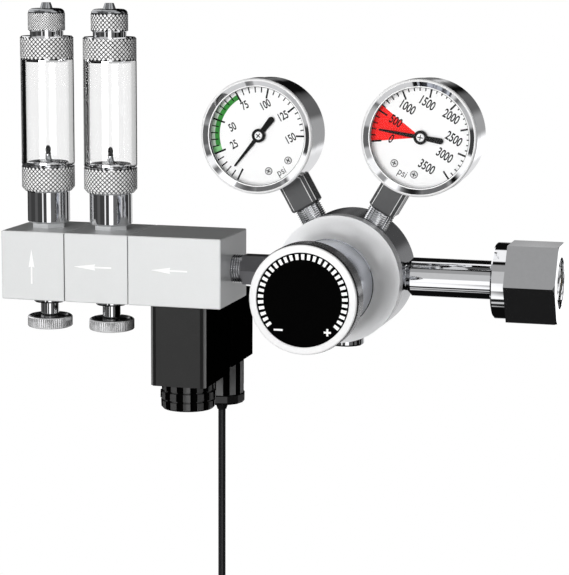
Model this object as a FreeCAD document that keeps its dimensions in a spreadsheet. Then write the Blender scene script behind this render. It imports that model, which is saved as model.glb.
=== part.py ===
"""Two-stage gas regulator with two gauges, a solenoid valve and two bubble counters.

Millimetres, +Z up. The origin is the centre of the tank nut's open mouth and +X points out of
it, towards the tank valve. The regulator body lies at -X, the manifold further out at -X, and
the pressure knob and both dials face -Y.
"""
import FreeCAD, Part
import math
import os
import Sketcher
from FreeCAD import Placement, Rotation, Vector

DRIVING_SIZES = [
    ("fit_gap", 0.05, "radial play of a shaft in its bore"),
    ("clearance", 0.3, "room between curved faces that move past each other"),
    # Inlet
    ("inlet_reach", 81.5, "body axis to the mouth of the tank nut"),
    ("nut_length", 24.2, "tank nut, end to end"),
    ("nut_flats", 28.575, "tank nut across its flats, one and an eighth inches"),
    ("nut_collar", 5.3, "round collar at the back of the nut, also its back wall"),
    ("nut_thread_radius", 9.65, "inside the nut's thread"),
    ("nut_thread_length", 13.0, "threaded depth from the mouth"),
    ("nut_relief", 0.5, "depth of the relief behind the thread"),
    ("nut_chamfer", 0.9, "bevel on the corners of the hexagon"),
    ("pipe_radius", 7.26, "inlet pipe, outside"),
    ("pipe_bore", 2.2, "gas way in the inlet pipe"),
    ("pipe_taper", 2.0, "taper from the pipe down to its thread"),
    ("pipe_thread_radius", 5.4, "thread into the body"),
    ("pipe_engagement", 8.6, "that thread inside the body"),
    ("head_radius", 9.0, "collar of the pipe inside the nut"),
    ("head_length", 3.2, "length of that collar"),
    ("filter_radius", 3.4, "sintered filter"),
    ("filter_length", 8.0, "sintered filter"),
    ("washer_radius", 8.8, "sealing washer"),
    ("washer_bore", 3.0, "hole in the sealing washer"),
    ("washer_thickness", 1.6, "sealing washer"),
    # Regulator body and rear cap
    ("body_radius", 24.0, "body and bonnet flange"),
    ("body_front", 9.5, "front face of the body, ahead of the pipe axis"),
    ("body_back", 13.1, "back face of the body, behind the pipe axis"),
    ("edge_bevel", 0.6, "bevel on turned edges"),
    ("outlet_chamber_radius", 16.0, "low-pressure recess under the front diaphragm"),
    ("outlet_chamber_depth", 1.0, "depth of that recess"),
    ("gallery_inner", 10.0, "curved gallery to the low-pressure ports, inside"),
    ("gallery_outer", 14.5, "curved gallery, outside"),
    ("gallery_floor", 2.5, "end of the gallery, behind the pipe axis"),
    ("gallery_angle", 190.0, "angle of the gallery round the body axis"),
    ("stage_bore", 4.6, "bore of both valve chambers"),
    ("front_chamber_floor", 3.5, "floor of the front valve chamber, ahead of the pipe axis"),
    ("rear_chamber_floor", 2.5, "floor of the rear valve chamber, ahead of the pipe axis"),
    ("link_groove_radius", 7.9, "groove that links the stages"),
    ("link_groove_width", 1.2, "width of that groove"),
    ("link_offset", 4.8, "drilling between the stages, off the body axis both ways"),
    ("link_radius", 0.8, "drilling between the stages"),
    ("rear_rim", 6.0, "wall of the body round the rear cap"),
    ("rear_recess_floor", 9.6, "ledge that carries the rear diaphragm"),
    ("rear_chamber_radius", 14.0, "chamber under the rear diaphragm"),
    ("rear_chamber_depth", 2.1, "depth of that chamber"),
    ("body_port_depth", 8.0, "depth of the body's threaded ports"),
    ("passage_radius", 0.8, "drilled gas ways"),
    ("cap_length", 10.0, "rear cap standing out of the body"),
    ("cap_bore", 13.0, "spring chamber in the rear cap"),
    ("cap_wall", 3.2, "end wall of the rear cap"),
    ("cap_socket_flats", 6.0, "hexagon socket in the rear cap"),
    ("cap_socket_depth", 1.8, "depth of that socket"),
    # Diaphragms, seats and poppets
    ("bonnet_ledge", 4.0, "wall of the bonnet round the front diaphragm"),
    ("front_diaphragm_thickness", 0.8, "front diaphragm"),
    ("rear_diaphragm_thickness", 0.6, "rear diaphragm"),
    ("seat_radius", 4.55, "screwed-in valve seats"),
    ("seat_length", 1.8, "screwed-in valve seats"),
    ("seat_orifice", 1.3, "orifice in each valve seat"),
    ("rear_seat_face", 3.0, "sealing face of the rear seat, behind the pipe axis"),
    ("rear_seat_length", 4.2, "length of the rear seat"),
    ("poppet_radius", 3.2, "disc of each poppet"),
    ("poppet_thickness", 1.5, "disc of each poppet"),
    ("poppet_stem", 0.9, "stem of each poppet"),
    ("poppet_spring_radius", 2.2, "poppet springs, middle of the wire"),
    ("poppet_spring_wire", 0.4, "poppet springs, wire radius"),
    ("front_spring_turns", 1.0, "spring behind the front poppet"),
    ("back_spring_turns", 2.5, "spring ahead of the rear poppet"),
    ("relief_spring_turns", 5.0, "relief spring"),
    ("plate_radius", 11.8, "plate between spring and front diaphragm"),
    ("plate_thickness", 3.0, "that plate"),
    ("plate_boss_radius", 7.6, "boss that centres the range spring"),
    ("plate_boss_length", 2.2, "that boss"),
    # Bonnet, adjusting screw and knob
    ("bonnet_rim", 15.5, "front edge of the bonnet's rim"),
    ("bonnet_shoulder", 26.7, "front end of the bonnet's flare"),
    ("flare_radius", 10.6, "hollow curve of the bonnet's flare"),
    ("flare_top", 16.75, "radius of the bonnet at the front of the flare"),
    ("barrel_radius", 15.2, "bonnet barrel inside the knob"),
    ("barrel_front", 51.0, "front end of the barrel"),
    ("barrel_bore", 12.6, "spring chamber in the barrel"),
    ("barrel_wall", 3.0, "front wall of the barrel"),
    ("bonnet_mouth", 15.0, "widened back of the spring chamber"),
    ("bonnet_mouth_depth", 3.2, "depth of the widened part"),
    ("key_width", 3.0, "key of the spring button"),
    ("key_height", 1.1, "key beyond the button's edge"),
    ("screw_radius", 4.0, "adjusting screw"),
    ("screw_end", 22.0, "back end of the adjusting screw"),
    ("screw_collar_radius", 7.0, "thrust collar of the screw"),
    ("screw_collar_length", 1.5, "thrust collar of the screw"),
    ("button_radius", 12.2, "spring button"),
    ("button_front", 37.0, "front face of the spring button"),
    ("button_thickness", 5.0, "spring button"),
    ("button_boss_radius", 7.6, "boss that centres the range spring"),
    ("button_boss_length", 2.5, "that boss"),
    ("range_spring_radius", 9.6, "range spring, middle of the wire"),
    ("range_spring_wire", 1.2, "range spring, wire radius"),
    ("range_spring_turns", 4.5, "range spring"),
    ("rear_spring_radius", 8.6, "rear spring, middle of the wire"),
    ("rear_spring_wire", 1.2, "rear spring, wire radius"),
    ("rear_spring_turns", 2.5, "rear spring"),
    ("skirt_radius", 16.6, "smooth skirt of the knob"),
    ("skirt_back", 27.0, "back end of the skirt"),
    ("grip_radius", 19.8, "knurled grip of the knob"),
    ("grip_back", 55.1, "back end of the grip"),
    ("grip_front", 63.3, "front end of the knurl"),
    ("rim_front", 65.4, "front of the knob's bright rim"),
    ("rim_bevel", 0.5, "rise of the rim towards its middle"),
    ("face_radius", 16.8, "black face of the knob"),
    ("face_depth", 0.4, "face set back from the rim"),
    ("face_thickness", 1.2, "black face of the knob"),
    ("web_thickness", 2.8, "web of the knob behind its face"),
    ("hub_radius", 7.0, "hub of the knob"),
    ("hub_length", 6.0, "hub of the knob behind the web"),
    # Relief valve
    ("relief_radius", 7.1, "head of the relief valve"),
    ("relief_spot", 1.0, "depth of the spot face for the relief valve's head"),
    ("relief_head", 4.1, "height of the relief valve's head"),
    ("relief_thread", 4.4, "thread of the relief valve"),
    ("relief_bore", 3.0, "spring chamber of the relief valve"),
    ("relief_wall", 1.6, "bottom wall of the relief valve"),
    ("relief_vent", 1.0, "vent of the relief valve"),
    ("relief_poppet_radius", 2.7, "relief poppet"),
    ("relief_poppet_thickness", 1.5, "relief poppet"),
    # Gauges
    ("left_tilt", -29.4, "tilt of the outlet gauge's stem from upright"),
    ("right_tilt", 30.2, "tilt of the tank gauge's stem from upright"),
    ("left_reach", 60.9, "body axis to the middle of the outlet gauge"),
    ("right_reach", 62.5, "body axis to the middle of the tank gauge"),
    ("gauge_plane", 3.9, "gauge stems ahead of the pipe axis"),
    ("gauge_thread", 4.85, "thread of the gauge sockets"),
    ("case_radius", 20.9, "gauge case"),
    ("case_wall", 1.2, "gauge case wall"),
    ("case_front", 18.7, "front edge of the gauge case"),
    ("case_back", 1.9, "back of the gauge case, behind the pipe axis"),
    ("case_rounding", 1.6, "bevel round the back of the case"),
    ("bezel_over", 0.6, "gauge bezel outside the case"),
    ("bezel_front", 21.5, "front of the gauge bezel"),
    ("bezel_back", 12.8, "back edge of the gauge bezel"),
    ("bezel_lip", 2.4, "opening of the bezel inside the case's outside"),
    ("lens_thickness", 1.5, "gauge lens"),
    ("dial_front", 16.6, "front of the dial"),
    ("dial_inset", 1.7, "dial inside the case's outside"),
    ("dial_thickness", 0.5, "dial"),
    ("pointer_front", 17.6, "front of the pointer"),
    ("pointer_thickness", 0.4, "pointer"),
    ("pointer_hub", 2.5, "hub of the pointer"),
    ("pointer_reach", 15.5, "pointer from its axis to its tip"),
    ("pointer_tail", 8.0, "pointer from its axis to its tail"),
    ("pointer_width", 1.9, "pointer at its hub and tail"),
    ("pointer_tip", 0.5, "width of the pointer's tip"),
    ("arbor_radius", 0.6, "arbor of the pointer"),
    ("arbor_back", 6.5, "back end of the arbor"),
    ("socket_width", 10.6, "square of the gauge socket"),
    ("socket_depth", 10.6, "square of the gauge socket, front to back"),
    ("socket_gap", 5.4, "underside of that square above the body"),
    ("post_width", 7.0, "post inside the gauge case"),
    ("post_depth", 3.5, "post inside the gauge case"),
    ("post_front", 11.5, "front of that post"),
    ("post_top", 3.0, "post above the gauge's middle"),
    ("bourdon_inset", 7.4, "middle of the bent tube inside the case's outside"),
    ("bourdon_section", 1.3, "bent tube in the gauge, outside radius"),
    ("bourdon_plane", 9.8, "bent tube ahead of the pipe axis"),
    ("outlet_reading", -141.3, "outlet pointer at rest, clockwise from upright"),
    ("tank_reading", -80.8, "tank pointer at rest, clockwise from upright"),
    # Manifold
    ("block_gap", 44.8, "body axis to the near face of the solenoid block"),
    ("solenoid_block_length", 37.1, "solenoid block along the manifold"),
    ("valve_block_length", 26.0, "each needle valve block along the manifold"),
    ("block_height", 26.8, "manifold blocks"),
    ("block_depth", 34.9, "manifold blocks, front to back"),
    ("block_bevel", 0.35, "bevel on the blocks' edges"),
    ("nipple_flats", 11.1, "hexagon of the nipple"),
    ("nipple_hex_gap", 4.3, "hexagon of the nipple from the body"),
    ("nipple_hex_length", 12.0, "hexagon of the nipple along its axis"),
    ("nipple_thread", 5.2, "thread of the nipple"),
    ("nipple_engagement", 8.5, "thread of the nipple inside the block"),
    ("nipple_bore", 2.0, "gas way in the nipple"),
    ("way_radius", 1.2, "gas way along the manifold"),
    ("seal_radius", 3.2, "seal between two blocks"),
    ("seal_bore", 1.5, "hole in that seal"),
    ("seal_thickness", 1.2, "seal between two blocks"),
    ("tie_offset", 12.5, "tie screws in front of and behind the gas way"),
    ("tie_radius", 2.0, "tie screws"),
    ("tie_head_radius", 3.5, "heads of the tie screws"),
    ("tie_head_length", 4.0, "heads of the tie screws"),
    ("tie_engagement", 9.5, "tie screws inside the solenoid block"),
    ("tie_socket_flats", 3.0, "hexagon socket of the tie screws"),
    ("tie_socket_depth", 2.0, "depth of that socket"),
    # Solenoid valve
    ("coil_offset", 63.4, "body axis to the solenoid's axis"),
    ("valve_chamber_radius", 7.0, "solenoid valve chamber in the block"),
    ("valve_chamber_depth", 8.0, "depth of that chamber from the block's underside"),
    ("nozzle_radius", 2.0, "raised seat of the solenoid valve"),
    ("nozzle_height", 1.2, "raised seat of the solenoid valve"),
    ("feed_offset", 5.2, "feed drilling beside the seat"),
    ("coil_width", 22.4, "solenoid coil housing"),
    ("coil_front", 13.3, "front of the coil housing"),
    ("coil_back", 20.7, "back of the coil housing"),
    ("coil_bottom", 45.3, "underside of the coil housing"),
    ("coil_edge", 1.5, "bevel of the upright edges"),
    ("coil_gap", 0.2, "coil housing under the block"),
    ("winding_radius", 9.7, "copper winding, outside"),
    ("winding_top", 18.2, "top of the winding, under the pipe axis"),
    ("winding_bottom", 41.0, "bottom of the winding"),
    ("tube_radius", 4.7, "armature tube, outside"),
    ("tube_bore", 3.6, "armature tube, inside"),
    ("tube_floor", 32.5, "top of the fixed core"),
    ("tube_bottom", 46.6, "bottom of the armature tube"),
    ("stud_radius", 3.6, "stud under the armature tube"),
    ("stud_end", 53.6, "bottom of that stud"),
    ("plunger_radius", 3.5, "plunger"),
    ("plunger_bottom", 30.6, "bottom of the plunger"),
    ("plunger_pocket", 2.4, "spring pocket in the plunger"),
    ("plunger_pocket_depth", 4.0, "spring pocket in the plunger"),
    ("plunger_spring_radius", 1.8, "plunger spring, middle of the wire"),
    ("plunger_spring_wire", 0.4, "plunger spring, wire radius"),
    ("plunger_spring_turns", 4.0, "plunger spring"),
    ("coil_nut_radius", 10.8, "nut that holds the coil"),
    ("coil_nut_bottom", 55.8, "underside of that nut"),
    ("coil_nut_step", 3.2, "plain step above the flutes"),
    ("coil_nut_floor", 1.6, "closed bottom of that nut"),
    ("flute_radius", 1.0, "flutes of the coil nut"),
    ("flute_count", 16, "flutes of the coil nut"),
    ("plug_width", 22.4, "cable plug housing"),
    ("plug_back", 54.0, "back of the cable plug housing"),
    ("plug_top", 15.5, "top of the cable plug housing, under the pipe axis"),
    ("plug_bottom", 43.5, "bottom of the cable plug housing"),
    ("plug_wall", 2.0, "wall of the cable plug housing"),
    ("plug_bevel", 2.4, "bevel of the cable plug housing"),
    ("gland_offset", 45.0, "cable gland behind the pipe axis"),
    ("neck_flats", 16.8, "eight-sided neck above the gland"),
    ("gland_top", 55.5, "top of the gland nut, under the pipe axis"),
    ("gland_bottom", 62.7, "bottom of the gland nut"),
    ("gland_radius", 9.7, "gland nut"),
    ("gland_bevel", 1.6, "bevel under the gland nut"),
    ("gland_floor", 2.4, "closed grip of the gland round the cord"),
    ("gland_bore", 3.0, "cable way in the neck"),
    ("plug_screw_radius", 1.5, "screw that holds the cable plug"),
    ("plug_screw_head", 3.2, "head of that screw"),
    ("plug_screw_rise", 1.4, "head standing behind the plug"),
    ("plug_screw_reach", 7.0, "that screw inside the coil housing"),
    # Bubble counters
    ("spigot_radius", 4.85, "threads into the blocks' tops"),
    ("spigot_length", 6.5, "threads into the blocks' tops"),
    ("port_depth", 7.0, "threaded ports in the blocks' tops and undersides"),
    ("counter_hex_flats", 11.2, "hexagon under the counter"),
    ("counter_hex_height", 2.5, "hexagon under the counter"),
    ("stem_radius", 8.27, "smooth stem of the counter"),
    ("stem_height", 12.2, "smooth stem of the counter"),
    ("ring_radius", 10.35, "knurled rings and glass of the counter"),
    ("ring_cone_radius", 8.8, "underside of the lower ring"),
    ("ring_cone_height", 1.8, "cone under the lower ring"),
    ("lower_ring_height", 8.6, "knurled part of the lower ring"),
    ("spigot_lip", 0.8, "lips that centre the glass"),
    ("glass_height", 40.5, "clear tube of the counter"),
    ("glass_wall", 2.0, "clear tube of the counter"),
    ("upper_ring_height", 9.1, "upper knurled ring"),
    ("neck_radius", 6.45, "neck above the upper ring"),
    ("neck_height", 1.9, "neck above the upper ring"),
    ("counter_thread", 5.1, "thread inside the cap nut"),
    ("counter_thread_length", 6.0, "thread inside the cap nut"),
    ("cap_nut_radius", 7.2, "knurled cap nut"),
    ("cap_nut_height", 8.8, "knurled cap nut"),
    ("cap_nut_bevel", 1.4, "rounded top of the cap nut"),
    ("barb_flange", 4.8, "flange of the hose barb"),
    ("barb_flange_thickness", 1.0, "flange of the hose barb"),
    ("barb_shank", 1.9, "shank of the hose barb"),
    ("barb_radius", 2.5, "wide end of the barb"),
    ("barb_tip", 1.74, "narrow end of the barb"),
    ("barb_height", 2.2, "barb above the cap nut"),
    ("bore_radius", 0.9, "gas way of the counter"),
    ("jet_base_radius", 2.6, "foot of the bubble jet"),
    ("jet_foot", 2.75, "height of that foot"),
    ("jet_stem", 0.45, "stem of the bubble jet"),
    ("jet_bulb", 0.85, "bulb of the bubble jet"),
    ("jet_height", 6.2, "bubble jet above its seat"),
    # Needle valves
    ("gland_flange_radius", 6.4, "collar under the block"),
    ("gland_flange_height", 3.1, "collar under the block"),
    ("sleeve_radius", 3.57, "sleeve of the needle valve"),
    ("sleeve_bottom", 24.2, "bottom of the sleeve, under the pipe axis"),
    ("needle_radius", 1.8, "needle shaft"),
    ("needle_shoulder", 3.0, "start of the needle's taper, under the pipe axis"),
    ("needle_tip_radius", 0.5, "needle tip"),
    ("needle_tip", 2.6, "needle tip above the pipe axis"),
    ("needle_chamber", 2.4, "chamber round the needle"),
    ("needle_seat", 1.5, "needle seat above the pipe axis"),
    ("knob_radius", 8.87, "needle valve knob"),
    ("knob_top", 21.8, "top of the knob, under the pipe axis"),
    ("knob_bottom", 26.5, "bottom of the knob"),
    ("knob_bevel", 0.7, "bevel of the knob"),
    ("knob_rim", 1.0, "flat rim round the dished top"),
    ("knob_dish", 1.0, "depth of the dished top"),
    ("knob_well_floor", 25.2, "bottom of the well that takes the sleeve"),
    ("needle_bottom", 26.0, "bottom of the needle inside the knob"),
    # Cord
    ("cord_radius", 1.54, "cord"),
    ("coil_top", 150.0, "top of the hanging cord coil, under the pipe axis"),
    ("coil_outer", 21.8, "cord coil, outside"),
    ("coil_inner", 12.4, "cord coil, inside"),
    ("coil_thickness", 12.5, "cord coil, front to back"),
    ("tail_offset", 17.1, "cord's tail beside the middle of the coil"),
    ("tail_drop", 24.0, "top of the cord's plug under the middle of the coil"),
    ("plug_body_radius", 5.0, "moulded body of the cord's plug"),
    ("plug_body_length", 24.0, "moulded body of the cord's plug"),
    ("plug_relief_length", 8.0, "tapered relief of the cord's plug"),
    ("barrel_plug_radius", 2.75, "metal barrel of the cord's plug"),
    ("barrel_plug_length", 9.5, "metal barrel of the cord's plug"),
    ("barrel_plug_bore", 1.05, "hole of the metal barrel"),
]


class Term:
    """A number together with the formula that gives it from the sheet."""

    def __init__(self, value, formula):
        self.value = float(value)
        self.formula = formula

    def __add__(self, other):
        other = as_term(other)
        return Term(self.value + other.value, f"({self.formula} + {other.formula})")

    def __sub__(self, other):
        other = as_term(other)
        return Term(self.value - other.value, f"({self.formula} - {other.formula})")

    def __mul__(self, other):
        other = as_term(other)
        return Term(self.value * other.value, f"({self.formula} * {other.formula})")

    def __truediv__(self, other):
        other = as_term(other)
        return Term(self.value / other.value, f"({self.formula} / {other.formula})")

    def __neg__(self):
        return Term(-self.value, f"(0 - {self.formula})")


def as_term(number):
    return number if isinstance(number, Term) else Term(number, f"({number!r})")


def sine(angle):
    return Term(math.sin(math.radians(angle.value)), f"sin({angle.formula} * 1 deg)")


def cosine(angle):
    return Term(math.cos(math.radians(angle.value)), f"cos({angle.formula} * 1 deg)")


doc = FreeCAD.newDocument("Regulator")
sheet = doc.addObject("Spreadsheet::Sheet", "Sizes")


class Sizes:
    """Every driving size by its alias."""


size = Sizes()
for row, (alias, number, meaning) in enumerate(DRIVING_SIZES, start=1):
    sheet.set(f"A{row}", str(number))
    sheet.setAlias(f"A{row}", alias)
    sheet.set(f"B{row}", meaning)
    setattr(size, alias, Term(number, f"Sizes.{alias}"))
doc.recompute()

# What follows from the radii of the body and of the gauge cases
size.port_floor = size.body_radius - size.body_port_depth
size.pipe_thread_end = size.body_radius - size.pipe_engagement
size.rear_recess_radius = size.body_radius - size.rear_rim
size.cap_radius = size.rear_recess_radius - size.clearance
size.front_diaphragm_radius = size.body_radius - size.bonnet_ledge
size.relief_seat = size.body_radius - size.relief_spot
size.relief_bottom = size.relief_seat + size.relief_head
size.relief_floor = size.relief_bottom - size.relief_wall
size.socket_shoulder = size.body_radius + size.socket_gap
size.bezel_radius = size.case_radius + size.bezel_over
size.bezel_window = size.case_radius - size.bezel_lip
size.dial_radius = size.case_radius - size.dial_inset
size.bourdon_radius = size.case_radius - size.bourdon_inset
size.nipple_hex_near = size.body_radius + size.nipple_hex_gap
size.nipple_hex_far = size.nipple_hex_near + size.nipple_hex_length

ZERO = as_term(0.0)
X_AXIS, Y_AXIS, Z_AXIS = Vector(1, 0, 0), Vector(0, 1, 0), Vector(0, 0, 1)
PLANE_OF_AXIS = {"X": "XY_Plane", "Y": "XY_Plane", "Z": "XZ_Plane"}
# Turns that lay a feature's own Z along the named direction
TURN = {
    "+X": Rotation(Y_AXIS, 90),
    "-X": Rotation(Y_AXIS, -90),
    "+Y": Rotation(X_AXIS, -90),
    "-Y": Rotation(X_AXIS, 90),
    "+Z": Rotation(),
    "-Z": Rotation(X_AXIS, 180),
}
nodes = {}


def bind(thing, name, amount):
    """Ties a property to the sheet."""
    thing.setExpression(name, as_term(amount).formula)


def place(thing, where, turn=None, tilt=None):
    """Puts a thing at three terms, turned, or tilted about Y by a term in degrees."""
    rotation = Rotation(Y_AXIS, tilt.value) if tilt else (turn or Rotation())
    numbers = [as_term(amount).value for amount in where]
    thing.Placement = Placement(Vector(*numbers), rotation)
    for letter, amount in zip("xyz", where):
        bind(thing, f"Placement.Base.{letter}", amount)
    if tilt:
        bind(thing, "Placement.Rotation.Angle", tilt)
    return thing


def new_body(name):
    body = doc.addObject("PartDesign::Body", name)
    body.Label = name
    return body


def origin_plane(body, role):
    return next(item for item in body.Origin.OriginFeatures if item.Role == role)


def arc_between(start, end, radius, side):
    """Arc of a radius from start to end that bulges to the left (1) or right (-1)."""
    chord = end - start
    middle = (start + end) * 0.5
    normal = Vector(-chord.y, chord.x, 0).normalize() * side
    rise = radius - math.sqrt(radius ** 2 - (chord.Length / 2) ** 2)
    return Part.Arc(start, middle + normal * rise, end)


def outline(body, name, plane, points):
    """Closed sketch through points; a point is (u, v), or (u, v, radius, side) to start an arc."""
    sketch = body.newObject("Sketcher::SketchObject", f"{body.Name}_{name}")
    sketch.AttachmentSupport = [(origin_plane(body, plane), "")]
    sketch.MapMode = "FlatFace"
    corners = [(as_term(point[0]), as_term(point[1])) for point in points]
    spots = [Vector(u.value, v.value, 0) for u, v in corners]
    starts, ends, rules = [], [], []
    for index, point in enumerate(points):
        start, end = spots[index], spots[(index + 1) % len(spots)]
        if len(point) == 2:
            sketch.addGeometry(Part.LineSegment(start, end), False)
            starts.append(1)
            ends.append(2)
            continue
        arc = arc_between(start, end, point[2].value, point[3])
        sketch.addGeometry(arc, False)
        forward = sketch.Geometry[index].StartPoint.distanceToPoint(start) < 1e-6
        starts.append(1 if forward else 2)
        ends.append(2 if forward else 1)
        rules.append(("Radius", index, point[2]))
    for index in range(len(points)):
        following = (index + 1) % len(points)
        joint = Sketcher.Constraint("Coincident", index, ends[index], following, starts[following])
        sketch.addConstraint(joint)
    for index, (u, v) in enumerate(corners):
        for kind, axis, amount in (("DistanceX", -2, u), ("DistanceY", -1, v)):
            if amount is ZERO:
                touch = Sketcher.Constraint("PointOnObject", index, starts[index], axis)
                sketch.addConstraint(touch)
                continue
            rule = Sketcher.Constraint(kind, -1, 1, index, starts[index], amount.value)
            number = sketch.addConstraint(rule)
            bind(sketch, f"Constraints[{number}]", amount)
    for kind, index, amount in rules:
        number = sketch.addConstraint(Sketcher.Constraint(kind, index, amount.value))
        bind(sketch, f"Constraints[{number}]", amount)
    sketch.Visibility = False
    return sketch


def turned(body, name, axis, points, kind="PartDesign::Revolution", angle=None):
    """Revolved stock or cut. Points are (radius, along) on the body's own axis."""
    if axis == "X":
        swapped = []
        for point in points:
            side = () if len(point) == 2 else (point[2], -point[3])
            swapped.append((point[1], point[0]) + side)
        points = swapped
    sketch = outline(body, name, PLANE_OF_AXIS[axis], points)
    feature = body.newObject(kind, f"{body.Name}_{name}_turned")
    feature.Profile = sketch
    feature.ReferenceAxis = (sketch, ["H_Axis" if axis == "X" else "V_Axis"])
    feature.Angle = 360
    if angle:
        feature.Midplane = True
        bind(feature, "Angle", angle)
    body.Tip = feature
    return feature


def turned_body(name, axis, points, where, tilt=None):
    body = new_body(name)
    turned(body, "profile", axis, points)
    return place(body, where, tilt=tilt)


def rod(body, name, radius, length, where, direction, cut=True, tilt=None):
    """Round hole, or round stock, from a point along a direction."""
    kind = "PartDesign::SubtractiveCylinder" if cut else "PartDesign::AdditiveCylinder"
    feature = body.newObject(kind, f"{body.Name}_{name}")
    bind(feature, "Radius", radius)
    bind(feature, "Height", length)
    place(feature, where, TURN[direction], tilt)
    body.Tip = feature
    return feature


def box(body, name, sizes, where, cut=False):
    """Box from its lowest corner."""
    kind = "PartDesign::SubtractiveBox" if cut else "PartDesign::AdditiveBox"
    feature = body.newObject(kind, f"{body.Name}_{name}")
    for side, amount in zip(("Length", "Width", "Height"), sizes):
        bind(feature, side, amount)
    place(feature, where)
    body.Tip = feature
    return feature


def prism(body, name, flats, sides, length, where, direction, cut=False, spin=0.0):
    """Regular prism by its size across flats."""
    kind = "PartDesign::SubtractivePrism" if cut else "PartDesign::AdditivePrism"
    feature = body.newObject(kind, f"{body.Name}_{name}")
    feature.Polygon = sides
    bind(feature, "Circumradius", flats / (2 * math.cos(math.pi / sides)))
    bind(feature, "Height", length)
    place(feature, where, TURN[direction].multiply(Rotation(Z_AXIS, spin)))
    body.Tip = feature
    return feature


def bevel(body, name, edges, amount):
    """Chamfer on the named edges of the newest feature."""
    stock = body.Tip
    feature = body.newObject("PartDesign::Chamfer", f"{body.Name}_{name}")
    feature.Base = (stock, edges)
    bind(feature, "Size", amount)
    body.Tip = feature
    return feature


def upright_edges(body):
    """Names of the straight edges of the newest feature that run along Z."""
    doc.recompute()
    names = []
    for number, edge in enumerate(body.Tip.Shape.Edges, start=1):
        tangent = edge.tangentAt(edge.FirstParameter)
        if abs(tangent.z) > 0.999 and edge.Curve.TypeId == "Part::GeomLine":
            names.append(f"Edge{number}")
    return names


def every_edge(body):
    doc.recompute()
    return [f"Edge{number}" for number in range(1, len(body.Tip.Shape.Edges) + 1)]


def coil_spring(name, radius, wire, start, end, turns, where, direction):
    """Round-wire spring between two seats at start and end along its axis."""
    free_length = end - start - wire * 2
    path = doc.addObject("Part::Helix", f"{name}_path")
    bind(path, "Radius", radius)
    bind(path, "Height", free_length)
    bind(path, "Pitch", free_length / turns)
    section = doc.addObject("Part::Circle", f"{name}_section")
    bind(section, "Radius", wire)
    place(section, (radius, ZERO, ZERO), TURN["-Y"])
    wound = doc.addObject("Part::Sweep", f"{name}_wound")
    wound.Sections = [section]
    wound.Spine = (path, ["Edge1"])
    wound.Solid = True
    wound.Frenet = True
    spring = doc.addObject("Part::Compound", name)
    spring.Links = [wound]
    along = start + wire
    shift = {"+Y": (ZERO, along, ZERO), "-Z": (ZERO, ZERO, -along)}[direction]
    spot = [as_term(base) + step for base, step in zip(where, shift)]
    return place(spring, spot, TURN[direction])


def group(name, members):
    """Several separate solids under one name."""
    bundle = doc.addObject("Part::Compound", name)
    bundle.Links = members
    return bundle


def keep(name, thing):
    """Names a finished sub-part."""
    thing.Label = name
    nodes[name] = thing


BODY = -size.inlet_reach
ON_BODY = (BODY, ZERO, ZERO)
PASS = as_term(1.0)


def make_body():
    s = size
    body = new_body("body_stock")
    front, back = -s.body_front, s.body_back
    chamber = front + s.outlet_chamber_depth
    groove = -s.front_chamber_floor - s.link_groove_width
    turned(body, "profile", "Y", [
        (ZERO, -s.front_chamber_floor),
        (s.link_groove_radius, -s.front_chamber_floor),
        (s.link_groove_radius, groove),
        (s.stage_bore, groove),
        (s.stage_bore, chamber),
        (s.outlet_chamber_radius, chamber),
        (s.outlet_chamber_radius, front),
        (s.body_radius, front),
        (s.body_radius, back - s.edge_bevel),
        (s.body_radius - s.edge_bevel, back),
        (s.rear_recess_radius, back),
        (s.rear_recess_radius, s.rear_recess_floor),
        (s.rear_chamber_radius, s.rear_recess_floor),
        (s.rear_chamber_radius, s.rear_recess_floor - s.rear_chamber_depth),
        (s.stage_bore, s.rear_recess_floor - s.rear_chamber_depth),
        (s.stage_bore, -s.rear_chamber_floor),
        (ZERO, -s.rear_chamber_floor),
    ])
    turned(body, "gallery", "Y", [
        (-s.gallery_outer, chamber),
        (-s.gallery_inner, chamber),
        (-s.gallery_inner, s.gallery_floor),
        (-s.gallery_outer, s.gallery_floor),
    ], "PartDesign::Groove", s.gallery_angle)
    mouth = s.body_radius - s.port_floor + PASS
    rod(body, "inlet_port", s.pipe_thread_radius, s.body_radius - s.pipe_thread_end + PASS,
        (s.pipe_thread_end, ZERO, ZERO), "+X")
    rod(body, "inlet_way", s.way_radius, s.pipe_thread_end, (ZERO, ZERO, ZERO), "+X")
    rod(body, "outlet_port", s.nipple_thread, mouth, (-s.port_floor, ZERO, ZERO), "-X")
    rod(body, "outlet_way", s.way_radius, s.port_floor - s.gallery_inner,
        (-s.gallery_inner, ZERO, ZERO), "-X")
    rod(body, "relief_port", s.relief_thread, mouth, (ZERO, ZERO, -s.port_floor), "-Z")
    rod(body, "relief_way", s.passage_radius, s.port_floor - s.gallery_inner,
        (ZERO, ZERO, -s.gallery_inner), "-Z")
    rod(body, "relief_spot_face", s.relief_radius + s.clearance, s.body_radius - s.relief_seat,
        (ZERO, ZERO, -s.relief_seat), "-Z")
    for side, tilt, start, shift in (
        ("left", s.left_tilt, s.gallery_inner, ZERO),
        ("right", s.right_tilt, ZERO, s.gauge_thread / 2),
    ):
        up, over = cosine(tilt), sine(tilt)
        rod(body, f"{side}_gauge_port", s.gauge_thread, mouth,
            (s.port_floor * over, -s.gauge_plane, s.port_floor * up), "+Z", tilt=tilt)
        rod(body, f"{side}_gauge_way", s.passage_radius, s.port_floor - start,
            (start * over, shift - s.gauge_plane, start * up), "+Z", tilt=tilt)
    link_start = groove + s.link_groove_width / 2
    link_end = s.rear_recess_floor - s.rear_chamber_depth + PASS
    rod(body, "link_way", s.link_radius, link_end - link_start,
        (-s.link_offset, link_start, -s.link_offset), "+Y")
    keep("body", place(body, ON_BODY))


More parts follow.
